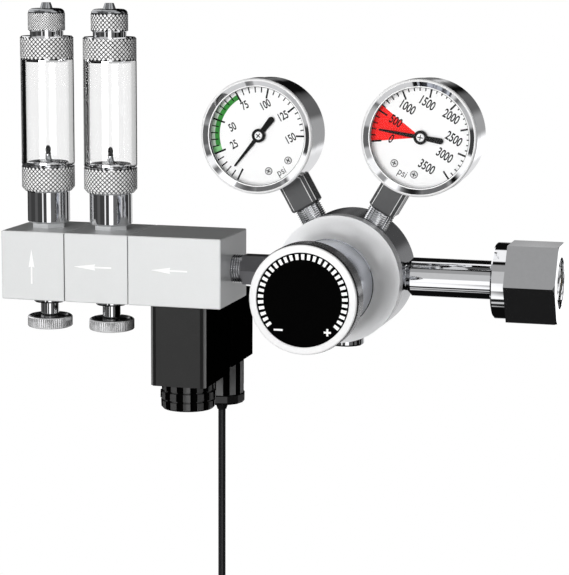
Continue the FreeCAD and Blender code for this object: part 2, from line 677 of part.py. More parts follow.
def make_rear_cap():
    s = size
    seat = s.rear_recess_floor + s.rear_diaphragm_thickness
    end = s.body_back + s.cap_length
    body = new_body("rear_cap")
    turned(body, "profile", "Y", [
        (s.cap_bore, seat),
        (s.cap_radius, seat),
        (s.cap_radius, end - s.edge_bevel * 2),
        (s.cap_radius - s.edge_bevel * 2, end),
        (ZERO, end),
        (ZERO, end - s.cap_wall),
        (s.cap_bore, end - s.cap_wall),
    ])
    prism(body, "socket", s.cap_socket_flats, 6, s.cap_socket_depth,
          (ZERO, end, ZERO), "-Y", cut=True)
    keep("rear_cap", place(body, ON_BODY))
    keep("rear_spring", coil_spring(
        "rear_spring", s.rear_spring_radius, s.rear_spring_wire, seat, end - s.cap_wall,
        s.rear_spring_turns, ON_BODY, "+Y"))


def make_valve_parts():
    s = size
    front = -s.body_front
    chamber = front + s.outlet_chamber_depth
    front_seat = turned_body("front_seat", "Y", [
        (s.seat_orifice, chamber), (s.seat_radius, chamber),
        (s.seat_radius, chamber + s.seat_length), (s.seat_orifice, chamber + s.seat_length),
    ], ON_BODY)
    rear_end = s.rear_seat_face + s.rear_seat_length
    rear_seat = turned_body("rear_seat", "Y", [
        (s.seat_orifice, s.rear_seat_face), (s.seat_radius, s.rear_seat_face),
        (s.seat_radius, rear_end), (s.seat_orifice, rear_end),
    ], ON_BODY)
    keep("valve_seats", group("valve_seats", [front_seat, rear_seat]))
    face = chamber + s.seat_length
    keep("second_poppet", turned_body("second_poppet", "Y", [
        (ZERO, front), (s.poppet_stem, front), (s.poppet_stem, face),
        (s.poppet_radius, face), (s.poppet_radius, face + s.poppet_thickness),
        (ZERO, face + s.poppet_thickness),
    ], ON_BODY))
    keep("first_poppet", turned_body("first_poppet", "Y", [
        (ZERO, s.rear_seat_face - s.poppet_thickness),
        (s.poppet_radius, s.rear_seat_face - s.poppet_thickness),
        (s.poppet_radius, s.rear_seat_face), (s.poppet_stem, s.rear_seat_face),
        (s.poppet_stem, s.rear_recess_floor), (ZERO, s.rear_recess_floor),
    ], ON_BODY))
    second = coil_spring("second_spring", s.poppet_spring_radius, s.poppet_spring_wire,
                         face + s.poppet_thickness, -s.front_chamber_floor,
                         s.front_spring_turns, ON_BODY, "+Y")
    first = coil_spring("first_spring", s.poppet_spring_radius, s.poppet_spring_wire,
                        -s.rear_chamber_floor, s.rear_seat_face - s.poppet_thickness,
                        s.back_spring_turns, ON_BODY, "+Y")
    keep("poppet_springs", group("poppet_springs", [second, first]))
    front_disc = turned_body("front_diaphragm", "Y", [
        (ZERO, front - s.front_diaphragm_thickness),
        (s.front_diaphragm_radius, front - s.front_diaphragm_thickness),
        (s.front_diaphragm_radius, front), (ZERO, front),
    ], ON_BODY)
    rear_disc = turned_body("rear_diaphragm", "Y", [
        (ZERO, s.rear_recess_floor), (s.cap_radius, s.rear_recess_floor),
        (s.cap_radius, s.rear_recess_floor + s.rear_diaphragm_thickness),
        (ZERO, s.rear_recess_floor + s.rear_diaphragm_thickness),
    ], ON_BODY)
    keep("diaphragms", group("diaphragms", [front_disc, rear_disc]))
    plate = front - s.front_diaphragm_thickness
    top = plate - s.plate_thickness
    keep("pressure_plate", turned_body("pressure_plate", "Y", [
        (ZERO, top - s.plate_boss_length), (s.plate_boss_radius, top - s.plate_boss_length),
        (s.plate_boss_radius, top), (s.plate_radius, top), (s.plate_radius, plate),
        (ZERO, plate),
    ], ON_BODY))


def make_bonnet():
    s = size
    back = -s.body_front
    recess = back - s.front_diaphragm_thickness
    mouth = recess - s.bonnet_mouth_depth
    wall = -s.barrel_front + s.barrel_wall
    body = new_body("bonnet")
    turned(body, "profile", "Y", [
        (s.front_diaphragm_radius + s.fit_gap, back),
        (s.body_radius, back),
        (s.body_radius, -s.bonnet_rim, s.flare_radius, -1),
        (s.flare_top, -s.bonnet_shoulder),
        (s.barrel_radius, -s.bonnet_shoulder),
        (s.barrel_radius, -s.barrel_front),
        (s.screw_radius + s.fit_gap, -s.barrel_front),
        (s.screw_radius + s.fit_gap, wall),
        (s.barrel_bore, wall),
        (s.barrel_bore, mouth),
        (s.bonnet_mouth, mouth),
        (s.bonnet_mouth, recess),
        (s.front_diaphragm_radius + s.fit_gap, recess),
    ])
    reach = s.button_radius + s.key_height + s.clearance
    box(body, "key_slot", (s.key_width + s.clearance * 2, mouth - wall, reach),
        (-(s.key_width / 2) - s.clearance, wall, ZERO), cut=True)
    keep("bonnet", place(body, ON_BODY))


def make_adjuster():
    s = size
    web_front = -s.rim_front + s.face_depth + s.face_thickness
    wall = -s.barrel_front + s.barrel_wall
    keep("adjusting_screw", turned_body("adjusting_screw", "Y", [
        (ZERO, web_front), (s.screw_radius, web_front), (s.screw_radius, wall),
        (s.screw_collar_radius, wall), (s.screw_collar_radius, wall + s.screw_collar_length),
        (s.screw_radius, wall + s.screw_collar_length), (s.screw_radius, -s.screw_end),
        (ZERO, -s.screw_end),
    ], ON_BODY))
    back = -s.button_front + s.button_thickness
    button = new_body("spring_button")
    turned(button, "profile", "Y", [
        (s.screw_radius + s.fit_gap, -s.button_front), (s.button_radius, -s.button_front),
        (s.button_radius, back), (s.button_boss_radius, back),
        (s.button_boss_radius, back + s.button_boss_length),
        (s.screw_radius + s.fit_gap, back + s.button_boss_length),
    ])
    foot = s.button_boss_radius
    box(button, "key", (s.key_width, s.button_thickness, s.button_radius + s.key_height - foot),
        (-(s.key_width / 2), -s.button_front, foot))
    keep("spring_button", place(button, ON_BODY))
    plate = -s.body_front - s.front_diaphragm_thickness - s.plate_thickness
    keep("range_spring", coil_spring(
        "range_spring", s.range_spring_radius, s.range_spring_wire, back, plate,
        s.range_spring_turns, ON_BODY, "+Y"))


def make_knob():
    s = size
    inner = s.barrel_radius + s.clearance
    front = -s.rim_front
    face_back = front + s.face_depth + s.face_thickness
    web_back = face_back + s.web_thickness
    rim_edge = s.grip_radius - s.edge_bevel / 2
    keep("knob_shell", turned_body("knob_shell", "Y", [
        (inner, -s.skirt_back),
        (s.skirt_radius, -s.skirt_back),
        (s.skirt_radius, -s.grip_back),
        (s.grip_radius - s.edge_bevel, -s.grip_back),
        (s.grip_radius, -s.grip_back - s.edge_bevel),
        (s.grip_radius, -s.grip_front),
        (rim_edge, front + s.rim_bevel),
        (s.face_radius, front),
        (s.face_radius, face_back),
        (s.screw_radius, face_back),
        (s.screw_radius, web_back + s.hub_length),
        (s.hub_radius, web_back + s.hub_length),
        (s.hub_radius, web_back),
        (inner, web_back),
    ], ON_BODY))
    keep("knob_face", turned_body("knob_face", "Y", [
        (ZERO, front + s.face_depth), (s.face_radius, front + s.face_depth),
        (s.face_radius, face_back), (ZERO, face_back),
    ], ON_BODY))


def make_relief_valve():
    s = size
    top = -s.port_floor - s.clearance
    keep("relief_body", turned_body("relief_body", "Z", [
        (s.relief_vent, -s.relief_bottom),
        (s.relief_radius - s.edge_bevel, -s.relief_bottom),
        (s.relief_radius, -s.relief_bottom + s.edge_bevel),
        (s.relief_radius, -s.relief_seat),
        (s.relief_thread, -s.relief_seat),
        (s.relief_thread, top),
        (s.relief_bore, top),
        (s.relief_bore, -s.relief_floor),
        (s.relief_vent, -s.relief_floor),
    ], ON_BODY))
    under = -s.port_floor - s.relief_poppet_thickness
    keep("relief_poppet", turned_body("relief_poppet", "Z", [
        (ZERO, under), (s.relief_poppet_radius, under), (s.relief_poppet_radius, -s.port_floor),
        (ZERO, -s.port_floor),
    ], ON_BODY))
    keep("relief_spring", coil_spring(
        "relief_spring", s.poppet_spring_radius, s.poppet_spring_wire, -under, s.relief_floor,
        s.relief_spring_turns, ON_BODY, "-Z"))


def make_inlet():
    s = size
    nut_back = -s.nut_length
    wall = nut_back + s.nut_collar
    head = wall + s.clearance
    face = head + s.head_length
    body_face = BODY + s.body_radius
    pocket = face - s.filter_length
    on_axis = (ZERO, ZERO, ZERO)
    keep("inlet_nipple", turned_body("inlet_nipple", "X", [
        (s.pipe_bore, BODY + s.pipe_thread_end),
        (s.pipe_thread_radius, BODY + s.pipe_thread_end),
        (s.pipe_thread_radius, body_face),
        (s.pipe_radius, body_face + s.pipe_taper),
        (s.pipe_radius, head),
        (s.head_radius, head),
        (s.head_radius, face),
        (s.filter_radius + s.fit_gap, face),
        (s.filter_radius + s.fit_gap, pocket),
        (s.pipe_bore, pocket),
    ], on_axis))
    keep("inlet_filter", turned_body("inlet_filter", "X", [
        (ZERO, pocket), (s.filter_radius, pocket), (s.filter_radius, face), (ZERO, face),
    ], on_axis))
    keep("tank_washer", turned_body("tank_washer", "X", [
        (s.washer_bore, face), (s.washer_radius, face),
        (s.washer_radius, face + s.washer_thickness), (s.washer_bore, face + s.washer_thickness),
    ], on_axis))
    nut = new_body("tank_nut")
    prism(nut, "hexagon", s.nut_flats, 6, s.nut_length - s.nut_collar, (wall, ZERO, ZERO), "+X",
          spin=90.0)
    half = s.nut_flats / 2
    corner = half / math.cos(math.pi / 6)
    turned(nut, "collar", "X", [
        (ZERO, nut_back), (half - s.edge_bevel, nut_back), (half, nut_back + s.edge_bevel),
        (half, wall), (ZERO, wall),
    ])
    turned(nut, "corner_bevel", "X", [
        (corner - s.nut_chamfer, ZERO), (corner + PASS, ZERO),
        (corner + PASS, -s.nut_chamfer - PASS), (corner, -s.nut_chamfer),
    ], "PartDesign::Groove")
    hole = s.pipe_radius + s.fit_gap
    relief = s.nut_thread_radius + s.nut_relief
    turned(nut, "bore", "X", [
        (ZERO, nut_back - PASS), (hole, nut_back - PASS), (hole, wall), (relief, wall),
        (relief, -s.nut_thread_length), (s.nut_thread_radius, -s.nut_thread_length),
        (s.nut_thread_radius, PASS), (ZERO, PASS),
    ], "PartDesign::Groove")
    keep("tank_nut", place(nut, on_axis))


def pointer(name, reading, centre):
    """Pointer drawn upright, then turned to its reading about its own arbor."""
    s = size
    body = new_body(name)
    back = -s.pointer_front + s.pointer_thickness
    sketch = outline(body, "blade", "XZ_Plane", [
        (-(s.pointer_width / 2), -s.pointer_tail), (s.pointer_width / 2, -s.pointer_tail),
        (s.pointer_width / 2, ZERO), (s.pointer_tip / 2, s.pointer_reach),
        (-(s.pointer_tip / 2), s.pointer_reach), (-(s.pointer_width / 2), ZERO),
    ])
    bind(sketch, "AttachmentOffset.Base.z", -back)
    blade = body.newObject("PartDesign::Pad", f"{name}_pad")
    blade.Profile = sketch
    bind(blade, "Length", s.pointer_thickness)
    body.Tip = blade
    turned(body, "hub", "Y", [
        (ZERO, -s.pointer_front), (s.pointer_hub, -s.pointer_front), (s.pointer_hub, back),
        (s.arbor_radius, back), (s.arbor_radius, -s.arbor_back), (ZERO, -s.arbor_back),
    ])
    return place(body, centre, tilt=reading)


def make_gauge(side, tilt, reach, reading, dial_name, pointer_name):
    """Case, bezel, lens, socket and bent tube of one gauge; keeps its dial and pointer."""
    s = size
    centre = (BODY + reach * sine(tilt), ZERO, reach * cosine(tilt))
    inner = s.case_radius - s.case_wall
    floor = s.case_back - s.case_wall
    case = new_body(f"{side}_case")
    turned(case, "profile", "Y", [
        (inner, -s.case_front), (s.case_radius, -s.case_front),
        (s.case_radius, s.case_back - s.case_rounding),
        (s.case_radius - s.case_rounding, s.case_back), (ZERO, s.case_back),
        (ZERO, floor), (inner, floor),
    ])
    post_back = -s.post_front + s.post_depth
    rod(case, "stem_hole", s.gauge_thread + s.fit_gap, s.case_radius + PASS,
        (ZERO, -s.gauge_plane, ZERO), "-Z")
    place(case, centre, tilt=tilt)
    lens_front = -s.case_front - s.lens_thickness
    bezel = turned_body(f"{side}_bezel", "Y", [
        (s.bezel_window, lens_front),
        (s.bezel_window, -s.bezel_front + s.edge_bevel * 2),
        (s.bezel_window + s.edge_bevel * 2, -s.bezel_front),
        (s.bezel_radius - s.edge_bevel, -s.bezel_front),
        (s.bezel_radius, -s.bezel_front + s.edge_bevel),
        (s.bezel_radius, -s.bezel_back),
        (s.case_radius + s.fit_gap, -s.bezel_back),
        (s.case_radius + s.fit_gap, lens_front),
    ], centre, tilt)
    lens = turned_body(f"{side}_lens", "Y", [
        (ZERO, lens_front), (s.case_radius, lens_front), (s.case_radius, -s.case_front),
        (ZERO, -s.case_front),
    ], centre, tilt)
    socket = new_body(f"{side}_socket")
    bottom = s.socket_shoulder - reach
    box(socket, "square", (s.socket_width, s.socket_depth, -inner - bottom),
        (-(s.socket_width / 2), -s.gauge_plane - s.socket_depth / 2, bottom))
    rod(socket, "case_seat", s.case_radius + s.fit_gap, s.socket_depth + PASS * 2,
        (ZERO, -s.gauge_plane - s.socket_depth / 2 - PASS, ZERO), "+Y")
    thread_end = -reach + s.port_floor + s.clearance
    rod(socket, "thread", s.gauge_thread, bottom - thread_end,
        (ZERO, -s.gauge_plane, thread_end), "+Z", cut=False)
    rod(socket, "stem", s.gauge_thread, s.case_wall + PASS * 4,
        (ZERO, -s.gauge_plane, -s.case_radius - PASS), "+Z", cut=False)
    low = -inner + s.clearance * 5
    box(socket, "post", (s.post_width, s.post_depth, s.post_top - low),
        (-(s.post_width / 2), -s.post_front, low))
    box(socket, "bridge", (s.post_width, s.post_front - s.gauge_plane, PASS * 2),
        (-(s.post_width / 2), -s.post_front, low))
    rod(socket, "arbor_hole", s.arbor_radius + s.fit_gap, s.post_depth + PASS * 2,
        (ZERO, -s.post_front - PASS, ZERO), "+Y")
    rod(socket, "gas_way", s.passage_radius, -inner - thread_end,
        (ZERO, -s.gauge_plane, thread_end), "+Z")
    place(socket, centre, tilt=tilt)
    bent = new_body(f"{side}_bent_tube")
    ring = bent.newObject("PartDesign::AdditiveTorus", f"{side}_bent_ring")
    bind(ring, "Radius1", s.bourdon_radius)
    bind(ring, "Radius2", s.bourdon_section)
    ring.Angle3 = 230
    place(ring, (ZERO, -s.bourdon_plane, ZERO), Rotation(X_AXIS, 90).multiply(Rotation(Z_AXIS, -72)))
    bent.Tip = ring
    place(bent, centre, tilt=tilt)
    dial = new_body(dial_name)
    turned(dial, "profile", "Y", [
        (s.arbor_radius + s.clearance, -s.dial_front), (s.dial_radius, -s.dial_front),
        (s.dial_radius, -s.dial_front + s.dial_thickness),
        (s.arbor_radius + s.clearance, -s.dial_front + s.dial_thickness),
    ])
    keep(dial_name, place(dial, centre, tilt=tilt))
    keep(pointer_name, pointer(pointer_name, reading, centre))
    return case, bezel, lens, socket, bent


def make_gauges():
    s = size
    left = make_gauge("left", s.left_tilt, s.left_reach, s.outlet_reading,
                      "outlet_dial", "outlet_pointer")
    right = make_gauge("right", s.right_tilt, s.right_reach, s.tank_reading,
                       "tank_dial", "tank_pointer")
    names = ("gauge_cases", "gauge_bezels", "gauge_lenses", "gauge_sockets", "bourdon_tubes")
    for name, pair in zip(names, zip(left, right)):
        keep(name, group(name, list(pair)))


NEAR_FACE = BODY - size.block_gap
SEAM = NEAR_FACE - size.solenoid_block_length
COIL = BODY - size.coil_offset
VALVES = (
    SEAM - size.valve_block_length * 1.5,
    SEAM - size.valve_block_length * 0.5,
)


def block(name, near, length):
    """Manifold block from its face nearer the body, with bevelled edges."""
    s = size
    body = new_body(name)
    box(body, "stock", (length, s.block_depth, s.block_height),
        (near - length, -(s.block_depth / 2), -(s.block_height / 2)))
    bevel(body, "edges", every_edge(body), s.block_bevel)
    return body


def make_blocks():
    s = size
    low = -(s.block_height / 2)
    main = block("solenoid_block", NEAR_FACE, s.solenoid_block_length)
    rod(main, "nipple_port", s.nipple_thread, s.nipple_engagement + s.clearance + PASS,
        (NEAR_FACE + PASS, ZERO, ZERO), "-X")
    feed = COIL + s.feed_offset
    rod(main, "feed_way", s.way_radius, NEAR_FACE - feed, (NEAR_FACE, ZERO, ZERO), "-X")
    roof = low + s.valve_chamber_depth
    rod(main, "chamber", s.valve_chamber_radius, s.valve_chamber_depth + PASS,
        (COIL, ZERO, low - PASS), "+Z")
    rod(main, "seat", s.nozzle_radius, s.nozzle_height, (COIL, ZERO, roof - s.nozzle_height),
        "+Z", cut=False)
    rod(main, "feed_drop", s.passage_radius, -roof, (feed, ZERO, roof), "+Z")
    rod(main, "orifice", s.passage_radius, s.nozzle_height - roof,
        (COIL, ZERO, roof - s.nozzle_height), "+Z")
    rod(main, "outlet_way", s.way_radius, COIL - SEAM + PASS, (COIL, ZERO, ZERO), "-X")
    rod(main, "seal_seat", s.seal_radius + s.fit_gap, s.seal_thickness + PASS,
        (SEAM - PASS, ZERO, ZERO), "+X")
    for side in (-1, 1):
        rod(main, f"tie_hole_{side + 1}", s.tie_radius, s.tie_engagement + PASS * 2,
            (SEAM - PASS, s.tie_offset * side, ZERO), "+X")
    keep("solenoid_block", main)
    nearest = SEAM - s.valve_block_length
    for number, near, middle in ((1, nearest, VALVES[0]), (2, SEAM, VALVES[1])):
        body = block(f"valve_block_{number}", near, s.valve_block_length)
        far = near - s.valve_block_length
        way = near - middle if number == 1 else s.valve_block_length + PASS
        rod(body, "gas_way", s.way_radius, way + PASS, (near + PASS, ZERO, ZERO), "-X")
        rod(body, "gland_port", s.spigot_radius, s.port_depth + PASS,
            (middle, ZERO, low - PASS), "+Z")
        rod(body, "needle_chamber", s.needle_chamber, s.needle_seat - low - s.port_depth,
            (middle, ZERO, low + s.port_depth), "+Z")
        rod(body, "orifice", s.bore_radius, -low - s.port_depth - s.needle_seat,
            (middle, ZERO, s.needle_seat), "+Z")
        rod(body, "counter_port", s.spigot_radius, s.port_depth + PASS,
            (middle, ZERO, -low - s.port_depth), "+Z")
        for side in (-1, 1):
            rod(body, f"tie_hole_{side + 1}", s.tie_radius + s.fit_gap,
                s.valve_block_length + PASS * 2,
                (far - PASS, s.tie_offset * side, ZERO), "+X")
            if number == 1:
                rod(body, f"tie_well_{side + 1}", s.tie_head_radius + s.clearance,
                    s.tie_head_length + s.clearance + PASS,
                    (far - PASS, s.tie_offset * side, ZERO), "+X")
        if number == 2:
            rod(body, "seal_seat", s.seal_radius + s.fit_gap, s.seal_thickness + PASS,
                (far - PASS, ZERO, ZERO), "+X")
        keep(f"valve_block_{number}", body)
    seals = []
    for number, face in enumerate((SEAM, nearest), start=1):
        seals.append(turned_body(f"seal_{number}", "X", [
            (s.seal_bore, ZERO), (s.seal_radius, ZERO), (s.seal_radius, s.seal_thickness),
            (s.seal_bore, s.seal_thickness),
        ], (face, ZERO, ZERO)))
    keep("block_seals", group("block_seals", seals))
    end = nearest - s.valve_block_length + s.clearance
    screws = []
    for side in (-1, 1):
        screw = new_body(f"tie_screw_{side + 1}")
        turned(screw, "profile", "X", [
            (ZERO, ZERO), (s.tie_head_radius, ZERO), (s.tie_head_radius, s.tie_head_length),
            (s.tie_radius, s.tie_head_length), (s.tie_radius, SEAM + s.tie_engagement - end),
            (ZERO, SEAM + s.tie_engagement - end),
        ])
        prism(screw, "socket", s.tie_socket_flats, 6, s.tie_socket_depth,
              (ZERO, ZERO, ZERO), "+X", cut=True)
        screws.append(place(screw, (end, s.tie_offset * side, ZERO)))
    keep("tie_screws", group("tie_screws", screws))


def make_hex_nipple():
    s = size
    inner = BODY - s.port_floor - s.clearance
    outer = NEAR_FACE - s.nipple_engagement
    body = new_body("hex_nipple")
    turned(body, "profile", "X", [
        (s.nipple_bore, outer), (s.nipple_thread, outer), (s.nipple_thread, inner),
        (s.nipple_bore, inner),
    ])
    prism(body, "hexagon", s.nipple_flats, 6, s.nipple_hex_far - s.nipple_hex_near,
          (BODY - s.nipple_hex_near, ZERO, ZERO), "-X", spin=90.0)
    rod(body, "bore", s.nipple_bore, inner - outer + PASS * 2, (outer - PASS, ZERO, ZERO), "+X")
    keep("hex_nipple", body)


def make_solenoid():
    s = size
    on_coil = (COIL, ZERO, ZERO)
    low = -(s.block_height / 2)
    top = low - s.coil_gap
    bottom = -s.coil_bottom
    half = s.coil_width / 2
    housing = new_body("coil_housing")
    box(housing, "stock", (s.coil_width, s.coil_front + s.coil_back, top - bottom),
        (-half, -s.coil_front, bottom))
    bevel(housing, "edges", upright_edges(housing), s.coil_edge)
    bore = s.tube_radius + s.fit_gap
    turned(housing, "bore", "Z", [
        (ZERO, bottom - PASS), (bore, bottom - PASS), (bore, -s.winding_bottom),
        (s.winding_radius + s.fit_gap, -s.winding_bottom),
        (s.winding_radius + s.fit_gap, -s.winding_top), (bore, -s.winding_top),
        (bore, top + PASS), (ZERO, top + PASS),
    ], "PartDesign::Groove")
    screw_height = -((s.plug_top + s.plug_bottom) / 2)
    rod(housing, "screw_hole", s.plug_screw_radius, s.plug_screw_reach + PASS * 2,
        (ZERO, s.coil_back - s.plug_screw_reach - PASS, screw_height), "+Y")
    keep("coil_housing", place(housing, on_coil))
    keep("coil_winding", turned_body("coil_winding", "Z", [
        (bore, -s.winding_bottom), (s.winding_radius, -s.winding_bottom),
        (s.winding_radius, -s.winding_top), (bore, -s.winding_top),
    ], on_coil))
    seat = low + s.valve_chamber_depth - s.nozzle_height
    keep("armature_tube", turned_body("armature_tube", "Z", [
        (ZERO, -s.stud_end), (s.stud_radius, -s.stud_end), (s.stud_radius, -s.tube_bottom),
        (s.tube_radius, -s.tube_bottom), (s.tube_radius, low),
        (s.valve_chamber_radius, low), (s.valve_chamber_radius, seat - s.clearance),
        (s.tube_bore, seat - s.clearance), (s.tube_bore, -s.tube_floor), (ZERO, -s.tube_floor),
    ], on_coil))
    plunger_top = seat
    keep("plunger", turned_body("plunger", "Z", [
        (s.plunger_pocket, -s.plunger_bottom), (s.plunger_radius, -s.plunger_bottom),
        (s.plunger_radius, plunger_top), (ZERO, plunger_top),
        (ZERO, -s.plunger_bottom + s.plunger_pocket_depth),
        (s.plunger_pocket, -s.plunger_bottom + s.plunger_pocket_depth),
    ], on_coil))
    keep("plunger_spring", coil_spring(
        "plunger_spring", s.plunger_spring_radius, s.plunger_spring_wire,
        s.plunger_bottom - s.plunger_pocket_depth, s.tube_floor, s.plunger_spring_turns,
        on_coil, "-Z"))
    nut = new_body("coil_nut")
    step = bottom - s.coil_nut_step
    base = -s.coil_nut_bottom
    hole = s.tube_radius + s.fit_gap
    turned(nut, "profile", "Z", [
        (ZERO, base), (s.coil_nut_radius - s.edge_bevel * 2, base),
        (s.coil_nut_radius, base + s.edge_bevel * 2), (s.coil_nut_radius, step),
        (s.coil_nut_radius - s.edge_bevel, step), (s.coil_nut_radius - s.edge_bevel, bottom),
        (hole, bottom), (hole, -s.tube_bottom), (s.stud_radius, -s.tube_bottom),
        (s.stud_radius, base + s.coil_nut_floor), (ZERO, base + s.coil_nut_floor),
    ])
    flute = rod(nut, "flute", s.flute_radius, step - base,
                (s.coil_nut_radius + s.flute_radius / 2, ZERO, base), "+Z")
    flutes = nut.newObject("PartDesign::PolarPattern", "coil_nut_flutes")
    flutes.Originals = [flute]
    flutes.Axis = (origin_plane(nut, "Z_Axis"), [""])
    flutes.Angle = 360
    bind(flutes, "Occurrences", s.flute_count)
    nut.Tip = flutes
    keep("coil_nut", place(nut, on_coil))


def make_cable_plug():
    s = size
    on_coil = (COIL, ZERO, ZERO)
    half = s.plug_width / 2
    front = s.coil_back
    top, bottom = -s.plug_top, -s.plug_bottom
    housing = new_body("plug_housing")
    box(housing, "stock", (s.plug_width, s.plug_back - front, top - bottom),
        (-half, front, bottom))
    bevel(housing, "edges", upright_edges(housing), s.plug_bevel)
    prism(housing, "neck", s.neck_flats, 8, s.gland_top - s.plug_bottom,
          (ZERO, s.gland_offset, -s.gland_top), "+Z", spin=22.5)
    inside = half - s.plug_wall
    box(housing, "terminal_room",
        (inside * 2, s.plug_back - front - s.plug_wall * 4, top - bottom - s.plug_wall * 2),
        (-inside, front, bottom + s.plug_wall), cut=True)
    rod(housing, "cable_way", s.gland_bore, s.gland_top - s.plug_bottom + s.plug_wall * 2,
        (ZERO, s.gland_offset, -s.gland_top), "+Z")
    height = -((s.plug_top + s.plug_bottom) / 2)
    rod(housing, "screw_hole", s.plug_screw_radius + s.fit_gap, s.plug_back - front,
        (ZERO, front, height), "+Y")
    keep("plug_housing", place(housing, on_coil))
    head_back = s.plug_back + s.plug_screw_rise
    tip = s.coil_back - s.plug_screw_reach
    screw = turned_body("plug_screw", "Y", [
        (ZERO, tip), (s.plug_screw_radius, tip), (s.plug_screw_radius, s.plug_back),
        (s.plug_screw_head, s.plug_back), (s.plug_screw_head, head_back), (ZERO, head_back),
    ], (COIL, ZERO, height))
    keep("plug_screw", screw)
    keep("gland_nut", turned_body("gland_nut", "Z", [
        (ZERO, -s.gland_bottom), (s.gland_radius - s.gland_bevel, -s.gland_bottom),
        (s.gland_radius, -s.gland_bottom + s.gland_bevel), (s.gland_radius, -s.gland_top),
        (s.gland_bore, -s.gland_top), (s.gland_bore, -s.gland_bottom + s.gland_floor),
        (ZERO, -s.gland_bottom + s.gland_floor),
    ], (COIL, s.gland_offset, ZERO)))


def make_counters():
    s = size
    block_top = s.block_height / 2
    hex_top = block_top + s.counter_hex_height
    stem_top = hex_top + s.stem_height
    ring_top = stem_top + s.ring_cone_height + s.lower_ring_height
    glass_top = ring_top + s.glass_height
    head_top = glass_top + s.upper_ring_height
    cap_bottom = head_top + s.neck_height
    cap_top = cap_bottom + s.cap_nut_height
    flange = cap_bottom + s.counter_thread_length
    roof = flange + s.barb_flange_thickness
    lip = s.ring_radius - s.glass_wall - s.clearance
    jet = ring_top + s.spigot_lip
    parts = {name: [] for name in ("bases", "tubes", "heads", "cap_nuts", "barbs", "nozzles")}
    for number, across in enumerate(VALVES, start=1):
        here = (across, ZERO, ZERO)
        base = new_body(f"counter_base_{number}")
        turned(base, "profile", "Z", [
            (s.bore_radius, block_top - s.spigot_length),
            (s.spigot_radius, block_top - s.spigot_length),
            (s.spigot_radius, hex_top), (s.stem_radius - s.edge_bevel, hex_top),
            (s.stem_radius, hex_top + s.edge_bevel), (s.stem_radius, stem_top),
            (s.ring_cone_radius, stem_top), (s.ring_radius, stem_top + s.ring_cone_height),
            (s.ring_radius, ring_top), (lip, ring_top), (lip, jet), (s.bore_radius, jet),
        ])
        prism(base, "hexagon", s.counter_hex_flats, 6, s.counter_hex_height,
              (ZERO, ZERO, block_top), "+Z", spin=10.0)
        rod(base, "bore", s.bore_radius, jet - block_top + s.spigot_length + PASS * 2,
            (ZERO, ZERO, block_top - s.spigot_length - PASS), "+Z")
        parts["bases"].append(place(base, here))
        parts["tubes"].append(turned_body(f"counter_tube_{number}", "Z", [
            (s.ring_radius - s.glass_wall, ring_top), (s.ring_radius, ring_top),
            (s.ring_radius, glass_top), (s.ring_radius - s.glass_wall, glass_top),
        ], here))
        parts["heads"].append(turned_body(f"counter_head_{number}", "Z", [
            (s.bore_radius, glass_top - s.spigot_lip), (lip, glass_top - s.spigot_lip),
            (lip, glass_top), (s.ring_radius, glass_top),
            (s.ring_radius, head_top - s.edge_bevel), (s.ring_radius - s.edge_bevel, head_top),
            (s.neck_radius, head_top), (s.neck_radius, cap_bottom),
            (s.counter_thread, cap_bottom), (s.counter_thread, flange),
            (s.bore_radius, flange),
        ], here))
        parts["cap_nuts"].append(turned_body(f"counter_cap_nut_{number}", "Z", [
            (s.counter_thread + s.fit_gap, cap_bottom), (s.cap_nut_radius, cap_bottom),
            (s.cap_nut_radius, cap_top - s.cap_nut_bevel),
            (s.cap_nut_radius - s.cap_nut_bevel, cap_top),
            (s.barb_shank + s.fit_gap, cap_top), (s.barb_shank + s.fit_gap, roof),
            (s.counter_thread + s.fit_gap, roof),
        ], here))
        parts["barbs"].append(turned_body(f"counter_barb_{number}", "Z", [
            (s.bore_radius, flange), (s.barb_flange, flange), (s.barb_flange, roof),
            (s.barb_shank, roof), (s.barb_shank, cap_top), (s.barb_radius, cap_top),
            (s.barb_tip, cap_top + s.barb_height), (s.bore_radius, cap_top + s.barb_height),
        ], here))
        tip = jet + s.jet_height
        parts["nozzles"].append(turned_body(f"counter_nozzle_{number}", "Z", [
            (ZERO, jet), (s.jet_base_radius, jet), (s.jet_bulb, jet + s.jet_foot),
            (s.jet_bulb, tip - s.jet_height / 2), (s.jet_stem, tip - s.jet_height / 3),
            (s.jet_stem, tip), (ZERO, tip),
        ], here))
    for name, members in parts.items():
        keep(f"counter_{name}", group(f"counter_{name}", members))


